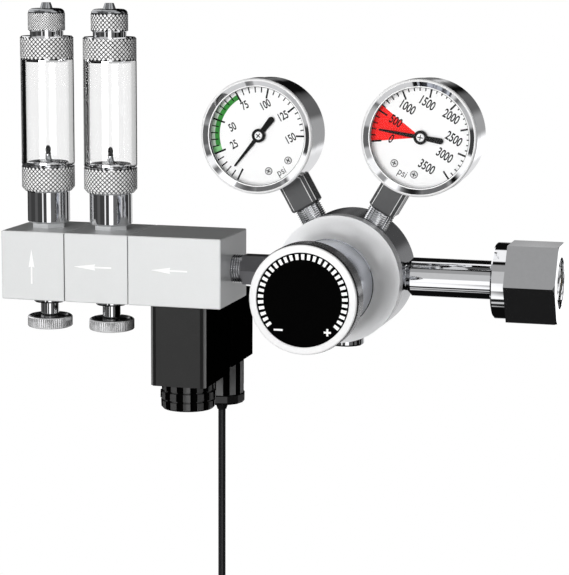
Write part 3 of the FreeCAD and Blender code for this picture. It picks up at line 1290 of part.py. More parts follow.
def make_needle_valves():
    s = size
    low = -(s.block_height / 2)
    flange = low - s.gland_flange_height
    glands = []
    for number, across in enumerate(VALVES, start=1):
        here = (across, ZERO, ZERO)
        glands.append(turned_body(f"valve_gland_{number}", "Z", [
            (s.needle_radius + s.fit_gap, -s.sleeve_bottom), (s.sleeve_radius, -s.sleeve_bottom),
            (s.sleeve_radius, flange), (s.gland_flange_radius - s.edge_bevel, flange),
            (s.gland_flange_radius, flange + s.edge_bevel), (s.gland_flange_radius, low),
            (s.spigot_radius, low), (s.spigot_radius, low + s.spigot_length),
            (s.needle_radius + s.fit_gap, low + s.spigot_length),
        ], here))
        keep(f"valve_needle_{number}", turned_body(f"valve_needle_{number}", "Z", [
            (ZERO, -s.needle_bottom), (s.needle_radius, -s.needle_bottom),
            (s.needle_radius, -s.needle_shoulder), (s.needle_tip_radius, s.needle_tip),
            (ZERO, s.needle_tip),
        ], here))
        well = s.sleeve_radius + s.clearance
        keep(f"valve_knob_{number}", turned_body(f"valve_knob_{number}", "Z", [
            (ZERO, -s.knob_bottom), (s.knob_radius - s.knob_bevel, -s.knob_bottom),
            (s.knob_radius, -s.knob_bottom + s.knob_bevel),
            (s.knob_radius, -s.knob_top - s.knob_bevel),
            (s.knob_radius - s.knob_bevel, -s.knob_top),
            (s.knob_radius - s.knob_bevel - s.knob_rim, -s.knob_top),
            (well, -s.knob_top - s.knob_dish), (well, -s.knob_well_floor),
            (s.needle_radius + s.fit_gap, -s.knob_well_floor),
            (s.needle_radius + s.fit_gap, -s.needle_bottom), (ZERO, -s.needle_bottom),
        ], here))
    keep("valve_glands", group("valve_glands", glands))


def make_cord():
    s = size
    middle = -s.coil_top - s.coil_outer
    lead = new_body("cord_drop")
    rod(lead, "run", s.cord_radius, s.coil_top - s.gland_bottom + s.cord_radius,
        (COIL, s.gland_offset, -s.gland_bottom), "-Z", cut=False)
    tail = new_body("cord_tail")
    plug_top = middle - s.tail_drop
    rod(tail, "run", s.cord_radius, s.tail_drop, (COIL + s.tail_offset, s.gland_offset, middle),
        "-Z", cut=False)
    keep("cord_lead", group("cord_lead", [lead, tail]))
    keep("cord_coil", turned_body("cord_coil", "Y", [
        (s.coil_inner, -(s.coil_thickness / 2)), (s.coil_outer, -(s.coil_thickness / 2)),
        (s.coil_outer, s.coil_thickness / 2), (s.coil_inner, s.coil_thickness / 2),
    ], (COIL, s.gland_offset, middle)))
    innermost = s.coil_inner + s.cord_radius
    print("cord: straight runs without arcs; innermost turn of the coil, radius", innermost.value)
    relief = -s.plug_relief_length
    heel = relief - s.plug_body_length
    tip = heel - s.barrel_plug_length
    keep("barrel_plug", turned_body("barrel_plug", "Z", [
        (ZERO, ZERO), (s.cord_radius + s.edge_bevel, ZERO), (s.plug_body_radius, relief),
        (s.plug_body_radius, heel), (s.barrel_plug_radius, heel), (s.barrel_plug_radius, tip),
        (s.barrel_plug_bore, tip), (s.barrel_plug_bore, heel), (ZERO, heel),
    ], (COIL + s.tail_offset, s.gland_offset, plug_top)))


def check_and_write():
    """Stops on any failed object; then writes every sub-part."""
    doc.recompute()
    for thing in doc.Objects:
        bad = [flag for flag in thing.State if flag in ("Invalid", "Error")]
        if bad:
            raise RuntimeError(f"{thing.Name} failed: {bad}")
    os.makedirs("parts", exist_ok=True)
    for name, thing in nodes.items():
        shape = thing.Shape
        if shape.isNull() or not shape.isValid() or not shape.Solids:
            raise RuntimeError(f"{name} has no sound shape")
        shape.exportStep(os.path.join("parts", f"{name}.step"))
    print(len(nodes), "sub-parts written")


make_body()
make_rear_cap()
make_valve_parts()
make_bonnet()
make_adjuster()
make_knob()
make_relief_valve()
make_inlet()
make_gauges()
make_blocks()
make_hex_nipple()
make_solenoid()
make_cable_plug()
make_counters()
make_needle_valves()
make_cord()
check_and_write()
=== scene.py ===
"""Studio view of a two-stage gas regulator: finishes, prints, knurls, threads and the cord.

Lengths in the tables are millimetres in the frame of the part. -Y is the front.
"""
import bpy
from math import cos, hypot, pi, radians, sin, tau
from mathutils import Matrix, Vector


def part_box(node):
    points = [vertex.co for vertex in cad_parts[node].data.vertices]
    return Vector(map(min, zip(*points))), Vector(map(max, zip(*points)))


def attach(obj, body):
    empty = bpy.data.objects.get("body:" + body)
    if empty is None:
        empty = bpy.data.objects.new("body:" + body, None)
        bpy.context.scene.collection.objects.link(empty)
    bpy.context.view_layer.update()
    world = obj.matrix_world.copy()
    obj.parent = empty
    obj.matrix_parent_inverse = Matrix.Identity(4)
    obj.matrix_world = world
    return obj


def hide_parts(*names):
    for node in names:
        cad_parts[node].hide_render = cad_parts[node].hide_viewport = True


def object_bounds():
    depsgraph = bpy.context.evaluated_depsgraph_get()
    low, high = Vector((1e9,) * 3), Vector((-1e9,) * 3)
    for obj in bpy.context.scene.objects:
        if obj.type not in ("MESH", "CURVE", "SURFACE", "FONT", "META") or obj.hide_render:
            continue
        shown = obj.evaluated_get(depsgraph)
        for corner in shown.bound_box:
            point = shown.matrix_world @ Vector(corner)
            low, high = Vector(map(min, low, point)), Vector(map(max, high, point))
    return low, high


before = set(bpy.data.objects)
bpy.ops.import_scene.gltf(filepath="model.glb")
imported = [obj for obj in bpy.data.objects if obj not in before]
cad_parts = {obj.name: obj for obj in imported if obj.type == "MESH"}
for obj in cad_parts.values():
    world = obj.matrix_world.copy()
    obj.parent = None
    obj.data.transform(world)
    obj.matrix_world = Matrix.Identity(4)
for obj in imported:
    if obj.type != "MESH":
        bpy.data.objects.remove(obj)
cad_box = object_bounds()
scene = bpy.context.scene
MM = 0.001
ROOT = "regulator"
X, Y, Z = 0, 1, 2


def at(x, y=0.0, z=0.0):
    return Matrix.Translation((x, y, z))


def rotated(degrees, axis="Y"):
    return Matrix.Rotation(radians(degrees), 4, axis)


# These lay a shape that is turned about Z along -Y, or along X
TURN_X, TURN_Y = rotated(90, "X"), rotated(90, "Y")


def middle(node):
    """Centre of a node's box, in millimetres."""
    low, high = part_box(node)
    return Vector([(a + b) / 2 / MM for a, b in zip(low, high)])


def span(node, axis):
    """Where a node starts and ends along an axis, in millimetres."""
    low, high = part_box(node)
    return low[axis] / MM, high[axis] / MM


BODY_X = middle("knob_face").x
VALVES = {1: middle("valve_knob_1").x, 2: middle("valve_knob_2").x}
COIL_X = middle("coil_nut").x
GLAND_Y = middle("gland_nut").y
BLOCK_TOP = span("valve_block_1", Z)[1]
BLOCK_FRONT = span("valve_block_1", Y)[0]


def add_object(name, data):
    item = bpy.data.objects.new(name, data)
    scene.collection.objects.link(item)
    return item


# Camera, fitted to the photograph with the size of the tank nut
CAMERA_SPOT = (102.43, -757.45, 118.63)
CAMERA_AZIMUTH, CAMERA_ELEVATION, CAMERA_ROLL = 15.62, 8.97, 0.24
FOCAL_PIXELS, PICTURE_HEIGHT, SENSOR = 2072.86, 575, 36.0
AXIS_OFF_CENTRE = (8.53, -3.05)
NEAREST_SEEN = 0.01


def make_camera():
    lens = bpy.data.cameras.new("camera")
    lens.sensor_fit = "VERTICAL"
    lens.sensor_height = SENSOR
    lens.lens = FOCAL_PIXELS * SENSOR / PICTURE_HEIGHT
    lens.shift_x, lens.shift_y = [off / PICTURE_HEIGHT for off in AXIS_OFF_CENTRE]
    lens.clip_start = NEAREST_SEEN
    camera = add_object("camera", lens)
    aim = (rotated(CAMERA_AZIMUTH, "Z") @ rotated(90 - CAMERA_ELEVATION, "X")
           @ rotated(CAMERA_ROLL, "Z"))
    camera.matrix_world = Matrix.Translation(Vector(CAMERA_SPOT) * MM) @ aim
    scene.camera = camera


make_camera()


# Materials

class Nodes:
    """Short spelling for building a material or world tree."""

    def __init__(self, tree):
        self.tree = tree
        tree.nodes.clear()

    def add(self, kind, inputs=None, **settings):
        node = self.tree.nodes.new(kind)
        for name, value in settings.items():
            setattr(node, name, value)
        for name, value in (inputs or {}).items():
            if isinstance(value, bpy.types.NodeSocket):
                self.tree.links.new(value, node.inputs[name])
            else:
                node.inputs[name].default_value = value
        return node

    def coordinates(self, kind):
        return self.add("ShaderNodeTexCoord").outputs[kind]

    def maths(self, operation, first, second=0.0, third=0.0):
        return self.add("ShaderNodeMath", {0: first, 1: second, 2: third},
                        operation=operation).outputs[0]

    def times(self, first, second):
        return self.maths("MULTIPLY", first, second)

    def mix(self, factor, first, second):
        return self.add("ShaderNodeMix", {0: factor, 6: first, 7: second},
                        data_type="RGBA").outputs[2]

    def mix_shaders(self, factor, first, second):
        return self.add("ShaderNodeMixShader", {"Fac": factor, 1: first.outputs[0],
                                                2: second.outputs[0]})

    def smooth_step(self, value, start, end):
        return self.add("ShaderNodeMapRange", {"Value": value, 1: start, 2: end},
                        interpolation_type="SMOOTHSTEP").outputs[0]

    def noise(self, place, scale, detail):
        return self.add("ShaderNodeTexNoise", {"Vector": place, "Scale": scale,
                                               "Detail": detail}).outputs["Fac"]

    def ramp(self, factor, *stops):
        """Colour between two stops of (place, colour)."""
        node = self.add("ShaderNodeValToRGB", {"Fac": factor})
        for element, (place, colour) in zip(node.color_ramp.elements, stops):
            element.position = place
            element.color = (*colour, 1.0)
        return node.outputs["Color"]

    def background(self, colour, strength=1.0):
        return self.add("ShaderNodeBackground", {"Color": colour, "Strength": strength})

    def output(self, shader, kind="ShaderNodeOutputMaterial"):
        self.add(kind, {"Surface": shader.outputs[0]})


WHITE = (1, 1, 1, 1)


def grey(tone):
    return tone, tone, tone, 1.0


def new_material(name):
    material = bpy.data.materials.new(name)
    material.use_nodes = True
    return material, Nodes(material.node_tree)


FINE_SHARE, BROADER = 0.7, 12
BUMP_REACH = 0.0002
# Where a box's bevels get a painted highlight and its sides painted shade
BEVEL_SLANT, SIDE_FACING, SIDE_SHADE_TONE = 0.2, 0.95, 0.001


def finish_of(name, colour, roughness, metallic, grain, spread, bump, specular=0.5,
              stretch=(1.0, 1.0, 1.0), bevel_highlight_tone=None):
    """Principled finish whose tone, roughness and surface vary with a fine grain.

    A colour of one number is a grey. A tone given last paints the bevels between the faces of
    a box with that tone as a painted highlight, and paints the box's left and right sides black
    without shine as painted shade.
    """
    material, n = new_material(name)
    place = n.coordinates("Object")
    mapped = n.add("ShaderNodeMapping", {"Vector": place, "Scale": stretch}).outputs["Vector"]
    fine = n.noise(mapped, grain, 4.0)
    broad = n.noise(place, grain / BROADER, 2.0)
    blend = n.maths("ADD", n.times(fine, FINE_SHARE), n.times(broad, 1 - FINE_SHARE))
    if not isinstance(colour, tuple):
        colour = (colour,) * 3
    dark = tuple(c * (1 - spread * 0.5) for c in colour)
    light = tuple(min(1.0, c * (1 + spread * 0.5)) for c in colour)
    tone = n.ramp(blend, (0.3, dark), (0.7, light))
    # Painted highlight on the bevels, painted shade on the left and right sides
    if bevel_highlight_tone:
        across, deep, _ = n.add("ShaderNodeSeparateXYZ", {0: n.coordinates("Normal")}).outputs
        slant = n.maths("ABSOLUTE", n.times(across, deep))
        tone = n.mix(n.maths("GREATER_THAN", slant, BEVEL_SLANT), tone, grey(bevel_highlight_tone))
        side = n.maths("GREATER_THAN", n.maths("ABSOLUTE", across), SIDE_FACING)
        tone = n.mix(side, tone, grey(SIDE_SHADE_TONE))
        specular = n.times(n.maths("SUBTRACT", 1.0, side), specular)
    rough = n.maths("ADD", n.times(blend, roughness * spread * 2), roughness * (1 - spread))
    relief = n.add("ShaderNodeBump", {"Height": fine, "Strength": bump, "Distance": BUMP_REACH})
    n.output(n.add("ShaderNodeBsdfPrincipled", {
        "Base Color": tone, "Roughness": rough, "Metallic": metallic,
        "Normal": relief.outputs["Normal"], "Specular IOR Level": specular}))
    return material


LENS_IOR, TUBE_IOR = 1.45, 1.46
HAZE_GRAIN, HAZE = 260.0, 0.03


def clear_lens(name, reflection):
    """Thin clear sheet: what lies behind it, with a little shine."""
    material, n = new_material(name)
    haze = n.noise(n.coordinates("Object"), HAZE_GRAIN, 3.0)
    through = n.add("ShaderNodeBsdfTransparent", {"Color": WHITE})
    shine = n.add("ShaderNodeBsdfGlossy", {"Roughness": n.times(haze, HAZE), "Color": WHITE})
    edge_on = n.add("ShaderNodeFresnel", {"IOR": LENS_IOR}).outputs[0]
    n.output(n.mix_shaders(n.times(edge_on, reflection), through, shine))
    return material


def clear_tube(name, reflection, tone):
    """Thick clear wall that bends what lies behind it and casts almost no shadow."""
    material, n = new_material(name)
    tint = grey(tone)
    bend = n.add("ShaderNodeBsdfRefraction", {"Color": tint, "Roughness": 0.0, "IOR": TUBE_IOR})
    shine = n.add("ShaderNodeBsdfGlossy", {"Roughness": 0.0, "Color": WHITE})
    edge_on = n.add("ShaderNodeFresnel", {"IOR": TUBE_IOR}).outputs[0]
    inside = n.add("ShaderNodeNewGeometry").outputs["Backfacing"]
    amount = n.times(edge_on, n.maths("MAXIMUM", inside, reflection))
    shadow = n.add("ShaderNodeLightPath").outputs["Is Shadow Ray"]
    through = n.add("ShaderNodeBsdfTransparent", {"Color": tint})
    n.output(n.mix_shaders(shadow, n.mix_shaders(amount, bend, shine), through))
    return material


CHROME = "polished_chrome"
# Colour, roughness, metallic, grain, spread of the tone, bump; then what finish_of may take
FINISHES = {
    CHROME: ((0.93, 0.935, 0.945), 0.04, 1.0, 600, 0.05, 0.002),
    "dark_chrome": ((0.36, 0.365, 0.38), 0.14, 1.0, 600, 0.06, 0.006),
    "blued_chrome": ((0.45, 0.47, 0.52), 0.12, 1.0, 600, 0.06, 0.006),
    "satin_silver": ((0.96, 0.965, 0.975), 0.3, 0.15, 1500, 0.04, 0.01),
    "pale_anodised": ((0.8, 0.81, 0.81), 0.24, 0.12, 2600, 0.03, 0.01),
    "milled_edge": ((0.97, 0.97, 0.98), 0.1, 0.75, 1500, 0.05, 0.01),
    # Knurl tops painted light as painted highlights, knurl grooves painted dark as painted shade
    "knurl_top_highlight": (0.97, 0.25, 0.05, 1500, 0.05, 0.01),
    "grip_top_highlight": ((0.62, 0.62, 0.63), 0.22, 0.6, 1500, 0.05, 0.01),
    "knurl_groove_shade": (0.02, 0.3, 0.0, 1500, 0.2, 0.01, 0.1),
    "socket_grey": ((0.085, 0.086, 0.088), 0.25, 0.0, 700, 0.1, 0.01),
    "screw_grey": (0.75, 0.4, 0.0, 1500, 0.1, 0.02),
    "nipple_grey": ((0.24, 0.24, 0.25), 0.3, 1.0, 600, 0.06, 0.01),
    "grey_chrome_and_shade": ((0.36, 0.37, 0.38), 0.12, 1.0, 600, 0.06, 0.006),
    "hexagon_grey": ((0.7, 0.71, 0.72), 0.3, 0.2, 1500, 0.06, 0.02),
    "bright_ring": (0.96, 0.3, 0.15, 1200, 0.03, 0.01),
    "turned_steel": ((0.6, 0.61, 0.63), 0.22, 1.0, 900, 0.2, 0.03),
    "turned_brass": ((0.75, 0.58, 0.28), 0.25, 1.0, 900, 0.2, 0.05),
    "winding_copper": ((0.7, 0.33, 0.18), 0.3, 1.0, 1800, 0.2, 0.1, 0.5, (0.05, 0.05, 1.0)),
    "black_plastic": (0.003, 0.22, 0.0, 2200, 0.3, 0.05, 0.08),
    "flat_black": (0.0015, 0.5, 0.0, 2200, 0.3, 0.02, 0.0),
    "lug_grey": (0.055, 0.16, 0.0, 2200, 0.3, 0.03),
    "rib_highlight_grey": (0.2, 0.4, 0.0, 2200, 0.2, 0.03),
    "nut_plastic_and_dark_reflection": (0.006, 0.16, 0.0, 2200, 0.3, 0.03),
    # Coil housing: bevels painted lighter as a painted highlight, sides painted black as painted
    # shade
    "coil_plastic": (0.036, 0.42, 0.0, 2200, 0.12, 0.06, 0.04, (1.0, 1.0, 1.0), 0.17),
    "face_black": (0.0015, 0.5, 0.0, 900, 0.2, 0.01, 0.0),
    "black_rubber": (0.006, 0.5, 0.0, 2000, 0.3, 0.1, 0.1),
    "cord_jacket": ((0.01, 0.01, 0.011), 0.22, 0.0, 2400, 0.3, 0.04),
    "seal_white": ((0.75, 0.75, 0.7), 0.45, 0.0, 1500, 0.1, 0.05),
    "dial_white": (0.97, 0.45, 0.0, 1200, 0.01, 0.01),
    # Print colours; the white also draws painted highlights, the black joint lines and painted
    # shade
    "print_and_highlight_white": (0.97, 0.5, 0.0, 1800, 0.02, 0.02),
    "print_and_shade_black": (0.008, 0.5, 0.0, 1800, 0.2, 0.02, 0.2),
    "print_green": ((0.03, 0.24, 0.035), 0.5, 0.0, 1800, 0.12, 0.02),
    "print_pale_green": ((0.22, 0.55, 0.22), 0.5, 0.0, 1800, 0.1, 0.02),
    "print_faint_green": ((0.6, 0.72, 0.6), 0.5, 0.0, 1800, 0.06, 0.02),
    "print_red": ((0.95, 0.012, 0.01), 0.5, 0.0, 1800, 0.05, 0.02),
    "pointer_black": (0.006, 0.4, 0.0, 1500, 0.3, 0.02, 0.3),
}
M = {name: finish_of(name, *facts) for name, facts in FINISHES.items()}
M["clear_lens"] = clear_lens("clear_lens", 0.15)
M["clear_tube"] = clear_tube("clear_tube", 0.3, 0.99)

NODE_FINISH = {
    CHROME: "relief_body inlet_nipple tank_nut gauge_cases valve_glands",
    "grey_chrome_and_shade": "counter_barbs",
    "dark_chrome": "body rear_cap",
    "nipple_grey": "hex_nipple",
    "satin_silver": "bonnet",
    "pale_anodised": "solenoid_block valve_block_1 valve_block_2",
    "turned_steel":
        "adjusting_screw range_spring rear_spring poppet_springs relief_spring tie_screws "
        "armature_tube plunger plunger_spring plug_screw valve_needle_1 valve_needle_2",
    "turned_brass":
        "spring_button pressure_plate valve_seats second_poppet first_poppet bourdon_tubes "
        "inlet_filter",
    "winding_copper": "coil_winding",
    "black_rubber": "diaphragms block_seals",
    "seal_white": "relief_poppet tank_washer",
    "dial_white": "outlet_dial tank_dial",
    "face_black": "knob_face",
    "coil_plastic": "coil_housing",
    "flat_black": "plug_housing",
    "nut_plastic_and_dark_reflection": "gland_nut",
    "clear_lens": "gauge_lenses",
    "clear_tube": "counter_tubes",
}
for finish, nodes in NODE_FINISH.items():
    for node in nodes.split():
        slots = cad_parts[node].data.materials
        slots.clear()
        slots.append(M[finish])


# Mesh helpers: a shape is (points, faces)

def add_mesh(name, mesh, material, body):
    mesh.materials.append(M[material])
    piece = add_object(name, mesh)
    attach(piece, body)
    return piece


def add_piece(name, shape, material, matrix, body=ROOT, sharp=32.0, stands_for=()):
    """Piece that rides on a body. Edges over sharp degrees stay hard."""
    points, faces = shape
    mesh = bpy.data.meshes.new(name)
    mesh.from_pydata([tuple((matrix @ Vector(p)) * MM) for p in points], [], faces)
    mesh.polygons.foreach_set("use_smooth", [True] * len(mesh.polygons))
    mesh.set_sharp_from_angle(angle=radians(sharp))
    piece = add_mesh(name, mesh, material, body)
    if stands_for:
        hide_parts(*stands_for)
    return piece


def turned(name, profile, around, material, matrix, ripple=None, **more):
    """Piece turned about Z from a closed profile of (radius, height)."""
    return add_piece(name, lathe(profile, around, ripple), material, matrix, **more)


def paint_faces(piece, faces, material):
    """Another material for some faces; painted highlights and painted shade go on this way too."""
    piece.data.materials.append(M[material])
    slot = len(piece.data.materials) - 1
    for face in faces:
        piece.data.polygons[face].material_index = slot


def bands(around, first, last):
    """Faces of a turned shape, by their first and last row."""
    return range(first * around, (last + 1) * around)


def join(*shapes):
    """One shape from several."""
    points, faces = [], []
    for more_points, more_faces in shapes:
        base = len(points)
        points.extend(more_points)
        faces.extend([[index + base for index in face] for face in more_faces])
    return points, faces


def grid_faces(rows, around, closed=False):
    """Faces between rings of points."""
    faces = []
    for row in range(rows if closed else rows - 1):
        low, high = row * around, (row + 1) % rows * around
        for step in range(around):
            after = (step + 1) % around
            faces.append([low + step, low + after, high + after, high + step])
    return faces


def round_z(radius, angle, height):
    return radius * cos(angle), radius * sin(angle), height


def lathe(profile, around, ripple=None):
    """Closed profile of (radius, height) turned about Z. ripple changes a radius by angle."""
    points = []
    for radius, height in profile:
        for step in range(around):
            angle = tau * step / around
            here = ripple(angle, radius) if ripple else radius
            points.append(round_z(here, angle, height))
    return points, grid_faces(len(profile), around, closed=True)


KNURL_TOP = 0.74


def knurl(radius, low, high, across, depth, taper=None):
    """Band of flat-topped diamonds round Z, each as wide as across, and a list of the tops.

    taper is (radius at the lower end, height where the full radius starts).
    """
    count = round(tau * radius / across)
    rows = max(2, 2 * round((high - low) / across))
    wide, tall = pi / count, (high - low) / rows

    def spot(angle, height, sunk):
        here = radius
        if taper and height < taper[1]:
            here = taper[0] + (radius - taper[0]) * (height - low) / (taper[1] - low)
        return round_z(here - sunk, angle, height)

    points, faces, tops = [], [], []
    for row in range(1, rows):
        for step in range(count):
            angle, height = wide * (2 * step + row % 2), low + tall * row
            base = len(points)
            for reach, sunk in ((1.0, depth), (KNURL_TOP, 0.0)):
                for across_by, up_by in ((1, 0), (0, 1), (-1, 0), (0, -1)):
                    points.append(spot(angle + wide * across_by * reach,
                                       height + tall * up_by * reach, sunk))
            for side in range(4):
                after = (side + 1) % 4
                faces.append([base + side, base + after, base + 4 + after, base + 4 + side])
            tops.append(len(faces))
            faces.append([base + 4, base + 5, base + 6, base + 7])
    return points, faces, tops


def add_knurl(name, band, matrix, body=ROOT, material="knurl_top_highlight"):
    """Knurled band as a piece of its own: grooves painted dark as painted shade, diamond tops
    painted light as painted highlights.
    """
    *shape, tops = band
    piece = add_piece(name, shape, "knurl_groove_shade", matrix, body, sharp=5.0)
    paint_faces(piece, tops, material)


ROWS_PER_TURN = 6


def thread(root, crest, low, high, pitch, around=64):
    """Helical ridges round Z between two heights."""
    rows = round((high - low) / pitch * ROWS_PER_TURN)
    points = []
    for row in range(rows + 1):
        height = low + (high - low) * row / rows
        for step in range(around):
            phase = (height / pitch - step / around) % 1.0
            here = root + (crest - root) * (1.0 - abs(phase * 2 - 1))
            points.append(round_z(here, tau * step / around, height))
    return points, grid_faces(rows + 1, around)


def ring_of(radius, count, start):
    """Corners in X and Y, evenly round from a start in degrees."""
    angles = [radians(360 / count * step + start) for step in range(count)]
    return [(radius * cos(a), radius * sin(a)) for a in angles]


def stack(outline, levels):
    """Prism from an outline in X and Y, at each (height, scale) level."""
    points = [(x * scale, y * scale, height) for height, scale in levels for x, y in outline]
    faces = grid_faces(len(levels), len(outline))
    faces.append(list(range(len(outline)))[::-1])
    faces.append(list(range(len(points) - len(outline), len(points))))
    return points, faces


def polar(radius, degrees):
    """(x, z) of a place on a dial, clockwise from the top, seen from -Y."""
    return radius * sin(radians(degrees)), radius * cos(radians(degrees))


def sector(inner, outer, start, end, steps=48):
    """Flat ring sector facing -Y, between two angles as in polar."""
    points = []
    for step in range(steps + 1):
        for radius in (inner, outer):
            x, z = polar(radius, start + (end - start) * step / steps)
            points.append((x, 0.0, z))
    return points, [[a, a + 2, a + 3, a + 1] for a in range(0, 2 * steps, 2)]


def flat(outline):
    """Flat shape facing -Y from (x, z) points in order."""
    return [(x, 0.0, z) for x, z in outline], [list(range(len(outline)))]


def bar(start, end, width):
    """Flat bar facing -Y between two (x, z) points."""
    start, end = Vector(start), Vector(end)
    along = (end - start).normalized()
    side = Vector((-along.y, along.x)) * width / 2
    return flat([start + side, end + side, end - side, start - side])


def cross(arm, width, x=0.0, z=0.0):
    """Flat plus sign facing -Y."""
    a, w = arm, width / 2
    outline = [(-w, a), (w, a), (w, w), (a, w), (a, -w), (w, -w), (w, -a), (-w, -a), (-w, -w),
               (-a, -w), (-a, w), (-w, w)]
    return flat([(x + dx, z + dz) for dx, dz in outline])


# How far prints, dark lines and painted shade stand out
PRINT_LIFT, LINE_AND_SHADE_LIFT = 0.03, 0.02
CAPITAL_HEIGHT = 0.72


def words(name, text, x, z, height, narrow, tilt, plane, bold=0.0):
    """Printed figures facing -Y, turned clockwise by tilt degrees."""
    curve = bpy.data.curves.new(name, "FONT")
    curve.body = str(text)
    curve.align_x = curve.align_y = "CENTER"
    curve.offset = bold
    source = add_object(f"{name}_curve", curve)
    mesh = bpy.data.meshes.new_from_object(source)
    bpy.data.objects.remove(source)
    mesh.name = name
    scale = height / CAPITAL_HEIGHT * MM
    size = Matrix.Diagonal((scale * narrow, scale, scale, 1.0))
    where = Matrix.Translation(Vector((x, plane, z)) * MM)
    mesh.transform(where @ (rotated(tilt) @ TURN_X) @ size)
    add_mesh(name, mesh, "print_and_shade_black", ROOT)


# Cord: straight down from the gland, a tied coil of twelve turns, then a short tail
CORD_DIAMETER = 3.08
NECK = CORD_DIAMETER / 2
COIL_CENTRE_Z = middle("cord_coil").z
STRAIGHT_POINTS = (-80.0, -100.0, -118.0, -132.0)
TURN_RADII = (20.2, 17.1, 14.0)
TURN_COLUMNS = (4.62, 1.54, -1.54, -4.62)
POINTS_PER_TURN = 16
ENTRY_ANGLE, ENTRY_STEP = 45.0, 7.0
STEP_OVER = 0.6
TIE_ANGLES = {1: -20.0, 2: 200.0}


def coil_lay():
    """Radius and column of each turn, neighbours side by side."""
    lay = []
    for number, column in enumerate(TURN_COLUMNS):
        radii = TURN_RADII if number % 2 == 0 else TURN_RADII[::-1]
        lay.extend((radius, column) for radius in radii)
    return lay


def cord_route():
    """Points of the cord in metres. Each turn steps over to the next in its last part."""
    exit_z = span("gland_nut", Z)[0]
    corner = COIL_CENTRE_Z + 2 * TURN_RADII[0] * sin(radians(ENTRY_ANGLE))
    route = [(0, 0, z) for z in (exit_z, *STRAIGHT_POINTS, corner)]
    route.append((ENTRY_STEP, TURN_COLUMNS[0] / 2, corner - ENTRY_STEP))
    lay = coil_lay()
    turns = len(lay) + (90.0 - ENTRY_ANGLE) / 360
    total = round(turns * POINTS_PER_TURN)
    for step in range(total + 1):
        done = step * turns / total
        turn = min(int(done), len(lay) - 1)
        radius, column = lay[turn]
        following = lay[min(turn + 1, len(lay) - 1)]
        shift = min(max((done - turn - STEP_OVER) / (1 - STEP_OVER), 0.0), 1.0)
        ease = shift * shift * (3 - 2 * shift)
        radius += (following[0] - radius) * ease
        column += (following[1] - column) * ease
        x, z = polar(radius, ENTRY_ANGLE + done * 360)
        route.append((x, column, COIL_CENTRE_Z + z))
    side = TURN_RADII[0]
    plug_top = span("barrel_plug", Z)[1]
    route.extend([(side, -4.2, COIL_CENTRE_Z - 9.0), (side, -1.6, COIL_CENTRE_Z - 18.0),
                  (side, 0.0, plug_top + 4.0), (side, 0.0, plug_top)])
    return [((COIL_X + x) * MM, (GLAND_Y + y) * MM, z * MM) for x, y, z in route]


def make_cord():
    route = cord_route()
    curve = bpy.data.curves.new("cord", "CURVE")
    curve.dimensions = "3D"
    spline = curve.splines.new("NURBS")
    spline.points.add(len(route) - 1)
    for point, spot in zip(spline.points, route):
        point.co = (*spot, 1.0)
    spline.order_u = 3
    spline.use_endpoint_u = True
    spline.resolution_u = 5
    curve.bevel_depth = CORD_DIAMETER / 2 * MM
    curve.bevel_resolution = 5
    curve.use_fill_caps = True
    curve.materials.append(M["cord_jacket"])
    cord = add_object("cord", curve)
    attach(cord, "regulator")
    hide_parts("cord_lead", "cord_coil")
    ties = [make_tie(f"cord_tie_{number}", angle) for number, angle in TIE_ANGLES.items()]
    make_barrel_plug()
    make_strain_relief()


def make_strain_relief():
    """Tapered sleeve where the cord leaves the gland."""
    bottom = span("gland_nut", Z)[0]
    profile = [(NECK + 0.02, bottom + 1.0), (NECK + 1.5, bottom + 1.0), (NECK + 1.2, bottom - 0.6),
               (NECK + 0.35, bottom - 3.2), (NECK + 0.02, bottom - 3.4)]
    turned("strain_relief", profile, 40, "black_rubber", at(COIL_X, GLAND_Y))


def make_tie(name, angle):
    """Flat strap round the bundle of turns, at an angle from the top of the coil."""
    half_radial, half_deep, corner, thick, half_wide = 5.2, 6.6, 2.2, 0.7, 2.0
    section = []
    for quarter, (sx, sy) in enumerate(((1, 1), (-1, 1), (-1, -1), (1, -1))):
        for step in range(7):
            a = radians(90 * quarter + 15 * step)
            section.append((sx * (half_radial - corner) + corner * cos(a),
                            sy * (half_deep - corner) + corner * sin(a)))
    points = []
    for grow, shift in ((0, -half_wide), (thick, -half_wide), (thick, half_wide), (0, half_wide)):
        for u, v in section:
            length = hypot(u, v)
            points.append((u * (1 + grow / length), v * (1 + grow / length), shift))
    faces = grid_faces(4, len(section), closed=True)
    sine, cosine = polar(1.0, angle)
    radial, along = Vector((sine, 0, cosine)), Vector((cosine, 0, -sine))
    lay = Matrix((radial, Vector((0, 1, 0)), along)).transposed().to_4x4()
    centre = Vector((COIL_X, GLAND_Y, COIL_CENTRE_Z)) + radial * TURN_RADII[1]
    return add_piece(name, (points, faces), "black_plastic", Matrix.Translation(centre) @ lay)


def make_barrel_plug():
    """Moulding with a ribbed neck, and its metal barrel."""
    low, high = span("barrel_plug", Z)
    place = at(*middle("barrel_plug").xy, high)
    profile = [(NECK - 0.3, 0.0), (NECK + 0.5, 0.0)]
    for number in range(4):
        top = -1.2 - number * 1.7
        wide = NECK + 0.8 + number * 0.6
        profile.extend([(wide, top), (wide, top - 0.9), (wide - 0.5, top - 1.1),
                        (wide - 0.5, top - 1.5)])
    profile.extend([(4.6, -8.4), (5.0, -9.2), (5.0, -31.2), (4.6, -32.0), (0.6, -32.0)])
    moulding = turned("plug_moulding", profile, 48, "black_plastic", place,
                      stands_for=("barrel_plug",))
    tip = low - high
    profile = [(1.05, -31.9), (2.75, -31.9), (2.75, tip + 0.3), (2.45, tip), (1.25, tip),
               (1.05, tip + 0.3)]
    return moulding, turned("plug_barrel", profile, 48, CHROME, place)


make_cord()


# Knob
KNOB_STEPS = 160
GRIP, GRIP_DEPTH, GRIP_BACK, GRIP_FRONT, GRIP_PITCH = 19.8, 0.5, 55.1, 63.3, 0.95
MARK_COUNT, MARK_REACH, MARK_HALF, MARK_RADII = 33, 126.6, 2.15, (14.3, 16.3)


